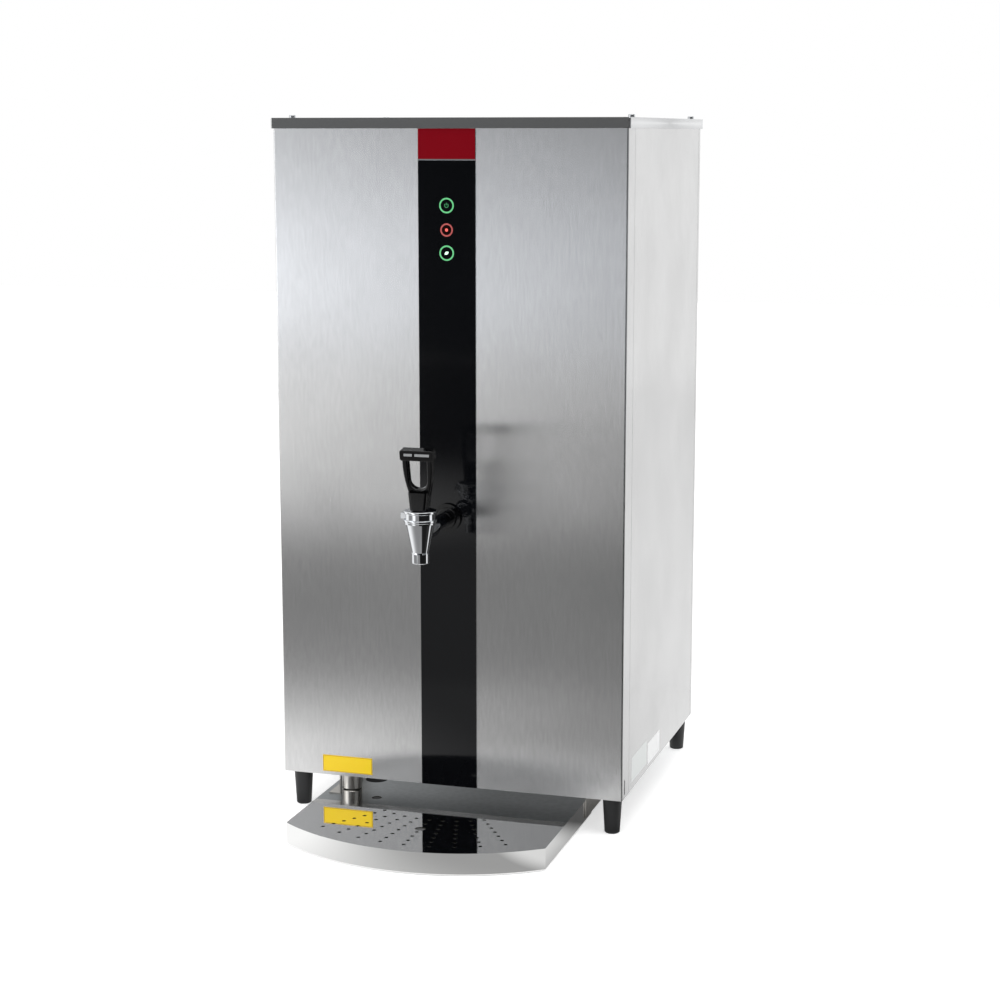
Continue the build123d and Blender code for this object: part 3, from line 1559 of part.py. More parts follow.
with BuildPart() as tray_basin:
    with BuildSketch():
        add(tray_outline(tray_sheet + basin_gap))
    extrude(amount=tray_height - tray_sheet)
    with BuildSketch(Plane.XY.offset(basin_wall)):
        add(tray_outline(tray_sheet + basin_gap + basin_wall))
    extrude(amount=tray_height, mode=Mode.SUBTRACT)
write(tray_basin.part, "tray_basin")

runner_x = half_tray + touch_gap
with BuildPart() as tray_runners:
    for side in (-1, 1):
        with BuildSketch(Plane.XY.offset(runner_foot)):
            with Locations((side * runner_x, panel_y + runner_front)):
                Rectangle(sheet, runner_length, align=(align_out(-side), Align.MIN))
        extrude(amount=base_z - runner_foot)
        with BuildSketch(Plane.XY.offset(base_z - sheet)):
            with Locations((side * runner_x, panel_y + runner_front)):
                Rectangle(runner_flange, runner_length, align=(align_out(-side), Align.MIN))
        extrude(amount=sheet)
write(tray_runners.part, "tray_runners")

# ======== labels ========
with BuildPart() as yellow_label:
    with BuildSketch(front_plane(panel_y)):
        with Locations((label_x, leg_height + label_rise)):
            Rectangle(label_width, label_height, align=(Align.CENTER, Align.MIN))
    extrude(amount=label_thickness)
write(yellow_label.part, "yellow_label")

with BuildPart() as rating_label:
    with BuildSketch(Plane.YZ.offset(side_x)):
        with Locations((panel_y + plate_front, leg_height + plate_rise)):
            Rectangle(plate_width, plate_height, align=(Align.MIN, Align.MIN))
    extrude(amount=label_thickness)
write(rating_label.part, "rating_label")
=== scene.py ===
from math import cos, pi, radians, sin

import bmesh
import bpy
from mathutils import Matrix, Vector


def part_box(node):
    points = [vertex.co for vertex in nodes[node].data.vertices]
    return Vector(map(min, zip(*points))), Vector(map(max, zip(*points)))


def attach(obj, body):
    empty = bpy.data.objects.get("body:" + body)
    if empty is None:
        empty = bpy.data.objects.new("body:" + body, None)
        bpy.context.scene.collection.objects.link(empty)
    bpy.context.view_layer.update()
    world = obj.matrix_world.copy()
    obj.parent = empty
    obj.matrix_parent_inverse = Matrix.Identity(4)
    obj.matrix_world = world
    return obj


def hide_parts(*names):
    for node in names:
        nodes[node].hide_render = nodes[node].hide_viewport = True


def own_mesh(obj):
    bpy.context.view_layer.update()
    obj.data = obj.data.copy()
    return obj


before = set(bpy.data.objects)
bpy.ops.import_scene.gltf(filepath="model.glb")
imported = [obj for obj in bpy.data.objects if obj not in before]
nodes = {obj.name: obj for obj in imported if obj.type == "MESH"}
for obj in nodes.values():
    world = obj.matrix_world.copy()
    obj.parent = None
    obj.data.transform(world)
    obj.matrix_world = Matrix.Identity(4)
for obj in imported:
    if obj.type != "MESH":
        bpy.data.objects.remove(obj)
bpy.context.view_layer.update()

# ======== casing ========
# Five sheets of 304 stainless steel, 1.2 mm thick, folded on a press and screwed to the base and
# each other. The sheet is bought with a brushed finish, and every panel is cut so that the grain
# stands upright: lights smear sideways across it, and a soft mirror image is left top to bottom.
MM = 0.001


def linear(code):
    """Linear colour of an sRGB hex value."""
    channels = [int(code[i:i + 2], 16) / 255 for i in (1, 3, 5)]
    return [c / 12.92 if c <= 0.04045 else ((c + 0.055) / 1.055) ** 2.4 for c in channels] + [1.0]


def add(tree, kind, settings=(), links=()):
    """Adds a node, sets its sockets or attributes, and links other nodes' outputs to its sockets."""
    node = tree.nodes.new("ShaderNode" + kind)
    for key, value in dict(settings).items():
        if isinstance(key, int) or key in node.inputs:
            node.inputs[key].default_value = value
        else:
            setattr(node, key, value)
    for key, output in dict(links).items():
        tree.links.new(output, node.inputs[key])
    return node


def start_material(name, even):
    """A named material, its surface with the sockets that are even all over, and the object's own
    coordinates in metres."""
    material = bpy.data.materials.new(name)
    material.use_nodes = True
    tree = material.node_tree
    surface = tree.nodes["Principled BSDF"]
    for socket, value in even.items():
        surface.inputs[socket].default_value = value
    place = add(tree, "TexCoord").outputs["Object"]
    return material, tree, surface, place


def dress(material, *names):
    """Gives the CAD nodes this material on all their faces."""
    for name in names:
        slots = nodes[name].data.materials
        slots.clear()
        slots.append(material)


def brushed_stainless(name, colours, across, grain_axis, roughness, turn):
    """Brushed stainless sheet; across is the sideways smear of the grain, turn the tangent's axis."""
    material, tree, surface, place = start_material(name, {"Metallic": 1.0, "Anisotropic": across})
    # Grain lines are some 0.1 mm wide on the real sheet; streaks of 2.6 mm are the finest that show.
    streak_width, streak_length = 2.6 * MM, 15 * MM
    scale = [1 / streak_length if axis == grain_axis else 1 / streak_width for axis in "XYZ"]
    stretched = add(tree, "Mapping", {"Scale": scale}, {"Vector": place}).outputs[0]
    grain = add(
        tree, "TexNoise", {"Scale": 1.0, "Detail": 3.0, "Roughness": 0.6}, {"Vector": stretched}
    ).outputs["Fac"]
    # Wiping marks and rolling cloudiness, a hand wide; where it is thick it dulls the tone.
    hand = 90 * MM
    cloud = add(tree, "TexNoise", {"Scale": 1 / hand, "Detail": 4.0}, {"Vector": place}).outputs["Fac"]
    ends = {"data_type": "RGBA", 6: linear(colours[0]), 7: linear(colours[1])}
    tone = add(tree, "Mix", ends, {0: grain}).outputs[2]
    dulling = {"data_type": "RGBA", "blend_type": "MULTIPLY", 7: linear("#F0F0F0")}
    mottled = add(tree, "Mix", dulling, {0: cloud, 6: tone})
    # Both patterns also shift the roughness a little.
    shifts = []
    for pattern, low, high in ((grain, roughness - 0.006, roughness + 0.006), (cloud, -0.008, 0.008)):
        swing = {"From Min": 0.3, "From Max": 0.7, "To Min": low, "To Max": high}
        shifts.append(add(tree, "MapRange", swing, {"Value": pattern}).outputs[0])
    rough = add(tree, "Math", {"operation": "ADD"}, dict(enumerate(shifts)))
    scratches = add(tree, "Bump", {"Strength": 0.001, "Distance": 0.05 * MM}, {"Height": grain})
    tangent = add(tree, "Tangent", {"direction_type": "RADIAL", "axis": turn})
    tree.links.new(mottled.outputs[2], surface.inputs["Base Color"])
    tree.links.new(rough.outputs[0], surface.inputs["Roughness"])
    tree.links.new(scratches.outputs[0], surface.inputs["Normal"])
    tree.links.new(tangent.outputs[0], surface.inputs["Tangent"])
    return material


casing_steel = brushed_stainless("brushed_stainless_upright", ("#D6D6D6", "#E9E9E9"), 1.0, "Z", 0.26, "Z")
dress(casing_steel, "front_panel", "left_side_panel", "right_side_panel", "rear_panel")

# ======== base plate and inner sheet work ========
# Galvanised mild steel, pressed and spot-welded: the tray that carries the tank, the shelf of the
# electrics and the tank's stand. Its zinc has a pale spangle.


def vary(tree, surface, pattern, colours, smooth, rough, reach=(0.3, 0.7)):
    """Lets a pattern move the surface's colour between two hex values, and its roughness from smooth
    to rough while the pattern crosses its usual reach."""
    ends = {"data_type": "RGBA", 6: linear(colours[0]), 7: linear(colours[1])}
    tone = add(tree, "Mix", ends, {0: pattern})
    swing = {"From Min": reach[0], "From Max": reach[1], "To Min": smooth, "To Max": rough}
    roughness = add(tree, "MapRange", swing, {"Value": pattern})
    tree.links.new(tone.outputs[2], surface.inputs["Base Color"])
    tree.links.new(roughness.outputs[0], surface.inputs["Roughness"])


def galvanised():
    """Hot-dip zinc on mild steel, with crystals some 6 mm wide."""
    material, tree, surface, place = start_material("galvanised_steel", {"Metallic": 1.0})
    crystal = 6 * MM
    spangle = add(tree, "TexVoronoi", {"Scale": 1 / crystal}, {"Vector": place}).outputs["Distance"]
    vary(tree, surface, spangle, ("#9DA1A4", "#B9BDC0"), 0.38, 0.55, (0.0, 1.0))
    return material


dress(galvanised(), "base_plate", "electronics_shelf", "tank_stand")

# ======== lid ========
# One folded stainless sheet, held by four screws, with a satin dark grey trim glued along its
# front skirt. The grain of the top runs from side to side.
lid_steel = brushed_stainless("brushed_stainless_lid", ("#BEBFC0", "#D4D5D6"), 0.8, "X", 0.32, "X")
dress(lid_steel, "lid")


def satin_paint(name, colours, roughness, grit):
    """Stoved paint or moulded plastic with a fine even texture, grit wide."""
    material, tree, surface, place = start_material(name, {})
    speckle = add(tree, "TexNoise", {"Scale": 1 / grit, "Detail": 2.0}, {"Vector": place}).outputs["Fac"]
    skin = add(tree, "Bump", {"Strength": 0.08, "Distance": 0.1 * MM}, {"Height": speckle})
    vary(tree, surface, speckle, colours, roughness - 0.05, roughness + 0.05)
    tree.links.new(skin.outputs[0], surface.inputs["Normal"])
    return material


# Powder coat on the trim: dark grey, its orange peel some 1.5 mm wide.
dress(satin_paint("powder_coated_trim", ("#474849", "#515252"), 0.42, 1.5 * MM), "lid_front_trim")

# ======== screws ========
# Pan-head machine screws with a cross recess, bright zinc plated: four in the lid, eight in the
# rear panel, and eight hexagon screws on the tank's lid.


def turned_metal(name, colour, roughness):
    """Turned or rolled metal, bare or under a thin plating, with faint marks 0.4 mm apart."""
    even = {"Base Color": linear(colour), "Metallic": 1.0}
    material, tree, surface, place = start_material(name, even)
    pitch = 0.4 * MM
    marks = add(tree, "TexNoise", {"Scale": 1 / pitch, "Detail": 2.0}, {"Vector": place}).outputs["Fac"]
    swing = {"From Min": 0.3, "From Max": 0.7, "To Min": roughness * 0.8, "To Max": roughness * 1.2}
    rough = add(tree, "MapRange", swing, {"Value": marks})
    tree.links.new(rough.outputs[0], surface.inputs["Roughness"])
    return material


screw_steel = turned_metal("zinc_plated_screws", "#C4C6C8", 0.3)
dress(screw_steel, "lid_screws", "rear_panel_screws", "tank_lid_screws")

# ======== legs ========
# Four tapered feet moulded in black nylon around an M8 stud. Spark-eroded moulds leave them a
# fine matt texture.
dress(satin_paint("moulded_black_nylon", ("#101112", "#1B1C1E"), 0.42, 0.8 * MM), "legs")

# ======== front strip and badge ========
# A strip of black acrylic, 0.8 mm thick, glued over the middle of the front panel, and a red
# piece of the same sheet above it. Both are printed on the back, so the face is glossy and bare.


def acrylic(name, colours, sheen):
    """Back-printed acrylic: a deep even colour under a glass-smooth face with a faint waviness."""
    even = {"Specular IOR Level": sheen, "IOR": 1.49}
    material, tree, surface, place = start_material(name, even)
    wavelength, dust_spot = 60 * MM, 1.2 * MM
    wave = add(tree, "TexNoise", {"Scale": 1 / wavelength, "Detail": 1.0}, {"Vector": place}).outputs["Fac"]
    dust = add(tree, "TexNoise", {"Scale": 1 / dust_spot, "Detail": 3.0}, {"Vector": place}).outputs["Fac"]
    ends = {"data_type": "RGBA", 6: linear(colours[0]), 7: linear(colours[1])}
    tone = add(tree, "Mix", ends, {0: wave})
    swing = {"From Min": 0.45, "From Max": 0.75, "To Min": 0.05, "To Max": 0.12}
    rough = add(tree, "MapRange", swing, {"Value": dust})
    tree.links.new(tone.outputs[2], surface.inputs["Base Color"])
    tree.links.new(rough.outputs[0], surface.inputs["Roughness"])
    return material


black_acrylic = acrylic("black_acrylic", ("#07080A", "#0A0B0E"), 0.5)
dress(black_acrylic, "strip_panel", "power_button", "eco_button")
dress(acrylic("red_acrylic", ("#7C0A17", "#740814"), 0.5), "red_badge")

# ======== lamps and buttons ========
# Ring-shaped light guides of clear acrylic, lit from the display board: green around the two push
# buttons, red around the small status lamp. Each cap has a lit sign let into its face.


def lit_acrylic(name, body, glow, strength):
    """A light guide: its frosted face glows evenly, a little less where the frosting is thin."""
    even = {"Base Color": linear(body), "Roughness": 0.3, "Emission Strength": strength}
    material, tree, surface, place = start_material(name, even)
    frosting = 2 * MM
    frost = add(tree, "TexNoise", {"Scale": 1 / frosting, "Detail": 2.0}, {"Vector": place}).outputs["Fac"]
    ends = {"data_type": "RGBA", 6: linear(glow[0]), 7: linear(glow[1])}
    tone = add(tree, "Mix", ends, {0: frost})
    tree.links.new(tone.outputs[2], surface.inputs["Emission Color"])
    return material


green_guide = lit_acrylic("lit_green_acrylic", "#1E5A34", ("#35A85A", "#8CE8A8"), 0.9)
red_guide = lit_acrylic("lit_red_acrylic", "#5A1E1E", ("#9A3A3A", "#D06A66"), 0.85)
dress(green_guide, "power_ring", "eco_ring")
dress(red_guide, "status_ring")
dress(acrylic("smoked_acrylic_lens", ("#140808", "#1C0A0A"), 0.3), "status_lens")

sign_proud = 0.12 * MM


def fitted(name, mesh, body, material):
    """Makes the piece of a finished mesh, and fits it to the body that it rides on."""
    bmesh.ops.recalc_face_normals(mesh, faces=mesh.faces)
    data = bpy.data.meshes.new(name)
    mesh.to_mesh(data)
    mesh.free()
    data.materials.append(material)
    piece = bpy.data.objects.new(name, data)
    bpy.context.scene.collection.objects.link(piece)
    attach(piece, body)
    return piece


def raised(name, outlines, facing, body, material):
    """Thin flat piece with the given outlines, raised by sign_proud from the plane that facing gives."""
    mesh = bmesh.new()
    for outline in outlines:
        front = [mesh.verts.new(facing @ Vector((x, y, sign_proud))) for x, y in outline]
        back = [mesh.verts.new(facing @ Vector((x, y, 0))) for x, y in outline]
        mesh.faces.new(front)
        mesh.faces.new(reversed(back))
        for i in range(len(outline)):
            j = (i + 1) % len(outline)
            mesh.faces.new((front[j], front[i], back[i], back[j]))
    return fitted(name, mesh, body, material)


def arc_band(radius, width, first, last, steps=28):
    """Outline of a band along a circle, between two angles in degrees."""
    turns = [radians(first + (last - first) * i / steps) for i in range(steps + 1)]
    outer = [((radius + width / 2) * cos(t), (radius + width / 2) * sin(t)) for t in turns]
    inner = [((radius - width / 2) * cos(t), (radius - width / 2) * sin(t)) for t in reversed(turns)]
    return outer + inner


def front_plane(node):
    """Plane of a node's front face: local X is +X, local Y is +Z, and it faces the user."""
    low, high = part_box(node)
    middle = (low + high) / 2
    return Matrix.Translation((middle.x, low.y, middle.z)) @ Matrix.Rotation(radians(90), 4, "X")


def bar(x, y, width, height):
    """Outline of an upright rectangle about its middle."""
    return [
        (x - width / 2, y - height / 2),
        (x + width / 2, y - height / 2),
        (x + width / 2, y + height / 2),
        (x - width / 2, y + height / 2),
    ]


dim_green = lit_acrylic("dim_green_sign", "#1E5A34", ("#2F7A4A", "#3F9A60"), 0.7)
white_green = lit_acrylic("bright_green_sign", "#9AD8B0", ("#B8F4CE", "#E8FFF0"), 1.3)
bright_red = lit_acrylic("bright_red_sign", "#8A2020", ("#F05048", "#FF7A70"), 1.3)

standby_radius = 2.0 * MM
standby_line = 0.8 * MM
standby_gap = 35  # degrees to either side of the top
raised(
    "power_sign",
    [
        arc_band(standby_radius, standby_line, 90 + standby_gap, 450 - standby_gap),
        bar(0, standby_radius * 0.75, standby_line, standby_radius * 1.3),
    ],
    front_plane("power_button"), "power_button", dim_green,
)
lamp_dot_radius = 1.6 * MM
dot_angles = [i * pi / 12 for i in range(24)]
raised(
    "status_sign",
    [[(lamp_dot_radius * cos(angle), lamp_dot_radius * sin(angle)) for angle in dot_angles]],
    front_plane("status_lens"), "urn", bright_red,
)
leaf_length = 5.2 * MM
leaf_belly = 1.5 * MM
leaf = [(leaf_length * (i / 12 - 0.5), leaf_belly * sin(i * pi / 12)) for i in range(13)]
leaf += [(x, -y) for x, y in reversed(leaf[1:-1])]
slant = radians(30)
raised(
    "eco_sign",
    [[(x * cos(slant) - y * sin(slant), x * sin(slant) + y * cos(slant)) for x, y in leaf]],
    front_plane("eco_button"), "eco_button", white_green,
)

# Between the badge and the strip runs a dull grey bead of the glue that holds them.
badge_low, badge_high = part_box("red_badge")
bead_height = 1.3 * MM
bead_plane = Matrix.Translation((0, badge_low.y, badge_low.z + bead_height / 2)) @ Matrix.Rotation(
    radians(90), 4, "X"
)
raised(
    "badge_bead", [bar(0, 0, badge_high.x - badge_low.x, bead_height)],
    bead_plane, "urn", satin_paint("grey_glue", ("#5A5E60", "#666A6C"), 0.5, 1.0 * MM),
)

# ======== tap ========
# Brass forgings, turned, polished and chrome plated: body, bonnet and shank. The plating is a
# near-perfect mirror, so the studio shows in it as sharp bright bands. Stem and pins are stainless.


def chrome(name, roughness):
    """Bright chrome plate; polishing leaves it very slightly uneven."""
    even = {"Base Color": linear("#E3E5E8"), "Metallic": 1.0}
    material, tree, surface, place = start_material(name, even)
    unevenness = 9 * MM
    haze = add(tree, "TexNoise", {"Scale": 1 / unevenness, "Detail": 3.0}, {"Vector": place}).outputs["Fac"]
    swing = {"From Min": 0.3, "From Max": 0.7, "To Min": roughness * 0.6, "To Max": roughness * 1.4}
    rough = add(tree, "MapRange", swing, {"Value": haze})
    tree.links.new(rough.outputs[0], surface.inputs["Roughness"])
    return material


dress(chrome("chrome_plate", 0.05), "tap_body", "tap_bonnet", "tap_shank")
pin_steel = turned_metal("turned_stainless_pins", "#CFCFD0", 0.2)
dress(pin_steel, "tap_stem", "handle_pin", "valve_plunger")

# ======== tap spring ========
# Stainless spring wire, 0.9 mm thick, coiled in five turns around the stem under the bonnet's roof.
# It presses the cup on its seat, and shortens as the lever lifts the stem.
spring_low, spring_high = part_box("tap_spring")
spring_middle = (spring_low + spring_high) / 2
wire_radius = 0.45 * MM
coil_radius = (spring_high.x - spring_low.x) / 2 - wire_radius
spring_length = spring_high.z - spring_low.z
spring_turns, steps_per_turn, wire_sides = 5, 24, 8
spring_steps = spring_turns * steps_per_turn
around_wire = [2 * pi * side / wire_sides for side in range(wire_sides)]
upward = Vector((0, 0, 1))
wire = bmesh.new()
rounds = []
for step in range(spring_steps + 1):
    turn = 2 * pi * step / steps_per_turn
    outward = Vector((cos(turn), sin(turn), 0))
    foot = Vector((spring_middle.x, spring_middle.y, spring_low.z + wire_radius))
    heart = foot + upward * (spring_length - 2 * wire_radius) * step / spring_steps + outward * coil_radius
    rounds.append([
        wire.verts.new(heart + (outward * cos(angle) + upward * sin(angle)) * wire_radius)
        for angle in around_wire
    ])
for one, other in zip(rounds, rounds[1:]):
    for side in range(wire_sides):
        following = (side + 1) % wire_sides
        wire.faces.new((one[side], other[side], other[following], one[following]))
wire.faces.new(rounds[0])
wire.faces.new(reversed(rounds[-1]))
spring = fitted("coiled_spring", wire, "urn", pin_steel)
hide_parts("tap_spring")
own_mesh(spring)

# ======== tap lever ========
# Glossy black ABS, moulded in one piece with a finger loop. Two pale bars are let into its top. The
# escutcheon on the panel is of the same plastic.
dress(satin_paint("gloss_black_abs", ("#040405", "#070708"), 0.11, 3 * MM), "tap_handle", "shank_flange")

pale_inlay = satin_paint("pale_moulded_inlay", ("#87898A", "#96989A"), 0.4, 1.0 * MM)
lever_low, lever_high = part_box("tap_handle")
lean = radians(10)
inlay_height = 2.6 * MM
grip_height = 11.0 * MM
grip_rounding = 0.9 * MM
grip_middle = Vector(
    (0, lever_low.y + 0.1 * MM, lever_high.z - grip_height * cos(lean) / 2 - grip_rounding)
)
grip_plane = Matrix.Translation(grip_middle) @ Matrix.Rotation(radians(90) - lean, 4, "X")
short_bar, long_bar = 8.8 * MM, 15.4 * MM
short_middle, long_middle = -8.4 * MM, 6.4 * MM
raised(
    "lever_inlay",
    [bar(short_middle, 0, short_bar, inlay_height), bar(long_middle, 0, long_bar, inlay_height)],
    grip_plane, "tap_lever", pale_inlay,
)

# ======== drip tray ========
# A cover of bright polished stainless steel with drain holes in a fan, standing in a black
# polypropylene basin. The polish is fine enough to mirror the casing above it. The runners that carry
# it, and the overflow pipe that ends over it, are of plain satin stainless steel.


def polished_stainless(name, colour, hole_shade_colour, roughness, fan_apex):
    """Bright rolled sheet with a slight haze, 40 mm wide. The walls of its punched holes are torn and
    rough, and painted dark as the shade inside the holes: they are the upright faces within the sheet's
    thickness, inside the fan of holes."""
    material, tree, surface, place = start_material(name, {"Metallic": 1.0})
    haze_width, sheet, fan_reach, half_fan = 40 * MM, 1.3 * MM, 190 * MM, 138 * MM
    torn_roughness = 0.35
    haze = add(tree, "TexNoise", {"Scale": 1 / haze_width, "Detail": 3.0}, {"Vector": place}).outputs["Fac"]
    axes = add(tree, "SeparateXYZ", {}, {0: place}).outputs
    facing = add(tree, "SeparateXYZ", {}, {0: add(tree, "TexCoord").outputs["Normal"]}).outputs
    away = add(tree, "VectorMath", {"operation": "DISTANCE", 1: fan_apex}, {0: place}).outputs["Value"]
    punched = add(tree, "Math", {"operation": "COMPARE", 1: 0.0, 2: 0.4}, {0: facing["Z"]}).outputs[0]
    for settings, measure in (
        ({"operation": "GREATER_THAN", 1: fan_apex.z - sheet}, axes["Z"]),
        ({"operation": "LESS_THAN", 1: fan_reach}, away),
        ({"operation": "COMPARE", 1: 0.0, 2: half_fan}, axes["X"]),
    ):
        inside = add(tree, "Math", settings, {0: measure}).outputs[0]
        punched = add(tree, "Math", {"operation": "MULTIPLY"}, {0: punched, 1: inside}).outputs[0]
    # The second colour is painted shade: it darkens the hole walls as the shade inside the holes.
    ends = {"data_type": "RGBA", 6: linear(colour), 7: linear(hole_shade_colour)}
    tone = add(tree, "Mix", ends, {0: punched})
    swing = {"From Min": 0.3, "From Max": 0.7, "To Min": roughness * 0.7, "To Max": roughness * 1.3}
    shine = add(tree, "MapRange", swing, {"Value": haze}).outputs[0]
    tearing = {"operation": "MULTIPLY_ADD", 1: torn_roughness}
    rough = add(tree, "Math", tearing, {0: punched, 2: shine})
    tree.links.new(tone.outputs[2], surface.inputs["Base Color"])
    tree.links.new(rough.outputs[0], surface.inputs["Roughness"])
    return material


apex_depth = 35 * MM
fan_apex = Vector((0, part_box("front_panel")[0].y + apex_depth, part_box("tray_cover")[1].z))
# The second colour is painted shade for the walls of the drain holes.
tray_steel = polished_stainless("polished_stainless_tray", "#F0F0EF", "#26251F", 0.035, fan_apex)
dress(tray_steel, "tray_cover")
dress(satin_paint("moulded_polypropylene", ("#17181A", "#202124"), 0.5, 1.2 * MM), "tray_basin")
dress(turned_metal("satin_stainless", "#C9C6C1", 0.3), "overflow_spigot", "tray_runners")

# ======== labels ========
# Self-adhesive vinyl, left bare: a yellow one with an ochre border at the foot of the front, and a
# white one low on the right-hand side, beside a thin aluminium plate.


def vinyl(name, colours):
    """Printed vinyl film; its ink is a little uneven, in patches 8 mm wide."""
    material, tree, surface, place = start_material(name, {})
    patch = 8 * MM
    ink = add(tree, "TexNoise", {"Scale": 1 / patch, "Detail": 4.0}, {"Vector": place}).outputs["Fac"]
    vary(tree, surface, ink, colours, 0.28, 0.4)
    return material


dress(vinyl("yellow_vinyl", ("#FFDC10", "#FFD608")), "yellow_label")
dress(vinyl("white_vinyl", ("#FBFCFC", "#F5F6F6")), "rating_label")

label_low, label_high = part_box("yellow_label")
border = 0.5 * MM
label_width = label_high.x - label_low.x - 2 * border
label_height = label_high.z - label_low.z - 2 * border
raised(
    "label_border",
    [
        bar(0, side * (label_height - border) / 2, label_width, border) for side in (-1, 1)
    ] + [
        bar(side * (label_width - border) / 2, 0, border, label_height - 2 * border) for side in (-1, 1)
    ],
    front_plane("yellow_label"), "urn", vinyl("ochre_ink", ("#C99A10", "#BF9010")),
)

# The plate stands in front of the white label and a little higher. Its local X runs backwards along
# the side panel, local Y upwards, and it faces right.
foil_width, foil_height = 74 * MM, 27 * MM
foil_gap, foil_rise = 4.5 * MM, 3 * MM
side_low, side_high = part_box("rating_label")
foil_place = (side_low.x, side_low.y - foil_gap - foil_width / 2, side_low.z + foil_rise + foil_height / 2)
foil_plane = Matrix.Translation(foil_place) @ Matrix(
    ((0, 0, 1, 0), (1, 0, 0, 0), (0, 1, 0, 0), (0, 0, 0, 1))
)
raised(
    "foil_plate", [bar(0, 0, foil_width, foil_height)],
    foil_plane, "urn", turned_metal("anodised_foil", "#D9DCDB", 0.42),
)

# ======== rear fittings ========
# Black nylon: the cable gland, the rocker switch's housing and, inside, the valve's coil, the
# terminals and the thermostat. The rocker is glossy red nylon, and the inlet and the tap's nut are
# turned brass.
black_nylon = satin_paint("moulded_nylon_fittings", ("#151617", "#1E1F20"), 0.38, 0.7 * MM)
dress(black_nylon, "cable_gland", "rocker_housing", "valve_coil", "terminal_block", "overheat_thermostat")
dress(satin_paint("gloss_red_nylon", ("#9E1414", "#A81818"), 0.2, 2 * MM), "rocker")
turned_brass = turned_metal("turned_brass", "#D2B36A", 0.24)
dress(turned_brass, "inlet_valve", "shank_nut")


def turned(name, axis_x, axis_z, profile, steps, flute, material):
    """Ring turned about an axis along Y, from its closed outline in y and radius. Every other pair of
    steps is deeper by flute, which leaves grip ribs."""
    mesh = bmesh.new()
    stations = []
    for i in range(steps):
        spoke = Vector((cos(2 * pi * i / steps), 0, sin(2 * pi * i / steps)))
        depth = flute if i % 4 < 2 else 0
        stations.append([
            mesh.verts.new(Vector((axis_x, y, axis_z)) + spoke * (radius - depth)) for y, radius in profile
        ])
    for i, one in enumerate(stations):
        other = stations[(i + 1) % steps]
        for j in range(len(profile)):
            k = (j + 1) % len(profile)
            mesh.faces.new((one[j], other[j], other[k], one[k]))
    return fitted(name, mesh, "urn", material)


# Pipe thread of the inlet, 14 to the inch.
inlet_low, inlet_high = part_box("inlet_valve")
panel_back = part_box("rear_panel")[1].y
inlet_height = 73 * MM
inlet_radius = 13.2 * MM
thread_pitch = 1.814 * MM
thread_depth = 0.5 * MM
thread_seat = 0.3 * MM
thread_start = panel_back + 3 * MM
crests = [(thread_start + i * thread_pitch / 2, inlet_radius + thread_depth * (i % 2)) for i in range(15)]
root = [(crests[-1][0], inlet_radius - thread_seat), (crests[0][0], inlet_radius - thread_seat)]
turned(
    "inlet_thread", (inlet_low.x + inlet_high.x) / 2, inlet_height,
    crests + root, 48, 0, turned_brass,
)

# Grip ribs on the nut that clamps the cable.
gland_low, gland_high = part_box("cable_gland")
gland_middle = (gland_low + gland_high) / 2
gland_radius = 9.8 * MM
rib_depth = 0.7 * MM
ribs = [
    (panel_back + behind * MM, gland_radius + proud * MM)
    for behind, proud in ((7.5, -1), (7.5, 0.4), (8.2, 1.1), (17, 0.7), (17.5, -1))
]
turned("gland_ribs", gland_middle.x, gland_middle.z, ribs, 72, rib_depth, black_nylon)

# White signs for on and off, printed on the two halves of the rocker's dished face.
rocker_faces = [face for face in nodes["rocker"].data.polygons if face.normal.y > 0.9]
rocker_low, rocker_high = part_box("rocker")
rocker_waist = (rocker_low.z + rocker_high.z) / 2
white_ink = satin_paint("white_printed_ink", ("#E4E4E0", "#F0F0EC"), 0.4, 1 * MM)
rightward = Vector((-1, 0, 0))  # as seen from behind
for sign, is_upper, outline in (
    ("on_sign", True, bar(0, 0, 1.1 * MM, 5 * MM)),
    ("off_sign", False, arc_band(2.2 * MM, 0.9 * MM, 0, 360)),
):
    half = [face for face in rocker_faces if (face.center.z > rocker_waist) == is_upper]
    area = sum(face.area for face in half)
    spot = sum((face.center * face.area for face in half), Vector()) / area
    normal = sum((face.normal * face.area for face in half), Vector()).normalized()
    facing = Matrix((rightward, normal.cross(rightward), normal)).transposed().to_4x4()
    raised(sign, [outline], Matrix.Translation(spot) @ facing, "rocker", white_ink)

# ======== tank and what hangs on it ========
# A welded stainless vessel in a jacket of foil-faced felt, with silicone hoses and gasket, two
# elements, three level probes and a temperature probe. The circuit boards and the relay are beside
# it. All of it is behind the panels.
dress(
    turned_metal("pickled_stainless", "#B9BBBD", 0.36),
    "tank", "tank_lid", "heating_element_left", "heating_element_right",
    "level_probes", "temperature_probe",
)
dress(
    satin_paint("white_silicone", ("#D8D8D2", "#E2E2DC"), 0.45, 4 * MM),
    "seat_cup", "outlet_hose", "overflow_hose", "inlet_hose", "tank_gasket", "shank_washer",
)
dress(satin_paint("foil_faced_felt", ("#A8A9A6", "#B7B8B5"), 0.6, 5 * MM), "insulation_jacket")
solder_mask = satin_paint("green_solder_mask", ("#0F4A26", "#15582E"), 0.35, 1.5 * MM)
dress(solder_mask, "display_board", "control_board")
dress(turned_metal("extruded_aluminium", "#C9CBCE", 0.35), "power_relay")

# ======== studio ========
# A white sweep of paper under the urn and soft light from large boxes.
floor_half = 7.0
floor_corners = [(x * floor_half, y * floor_half, 0) for x, y in ((-1, -1), (1, -1), (1, 1), (-1, 1))]
floor_mesh = bpy.data.meshes.new("paper_sweep")
floor_mesh.from_pydata(floor_corners, [], [(0, 1, 2, 3)])
floor = bpy.data.objects.new("paper_sweep", floor_mesh)
bpy.context.scene.collection.objects.link(floor)

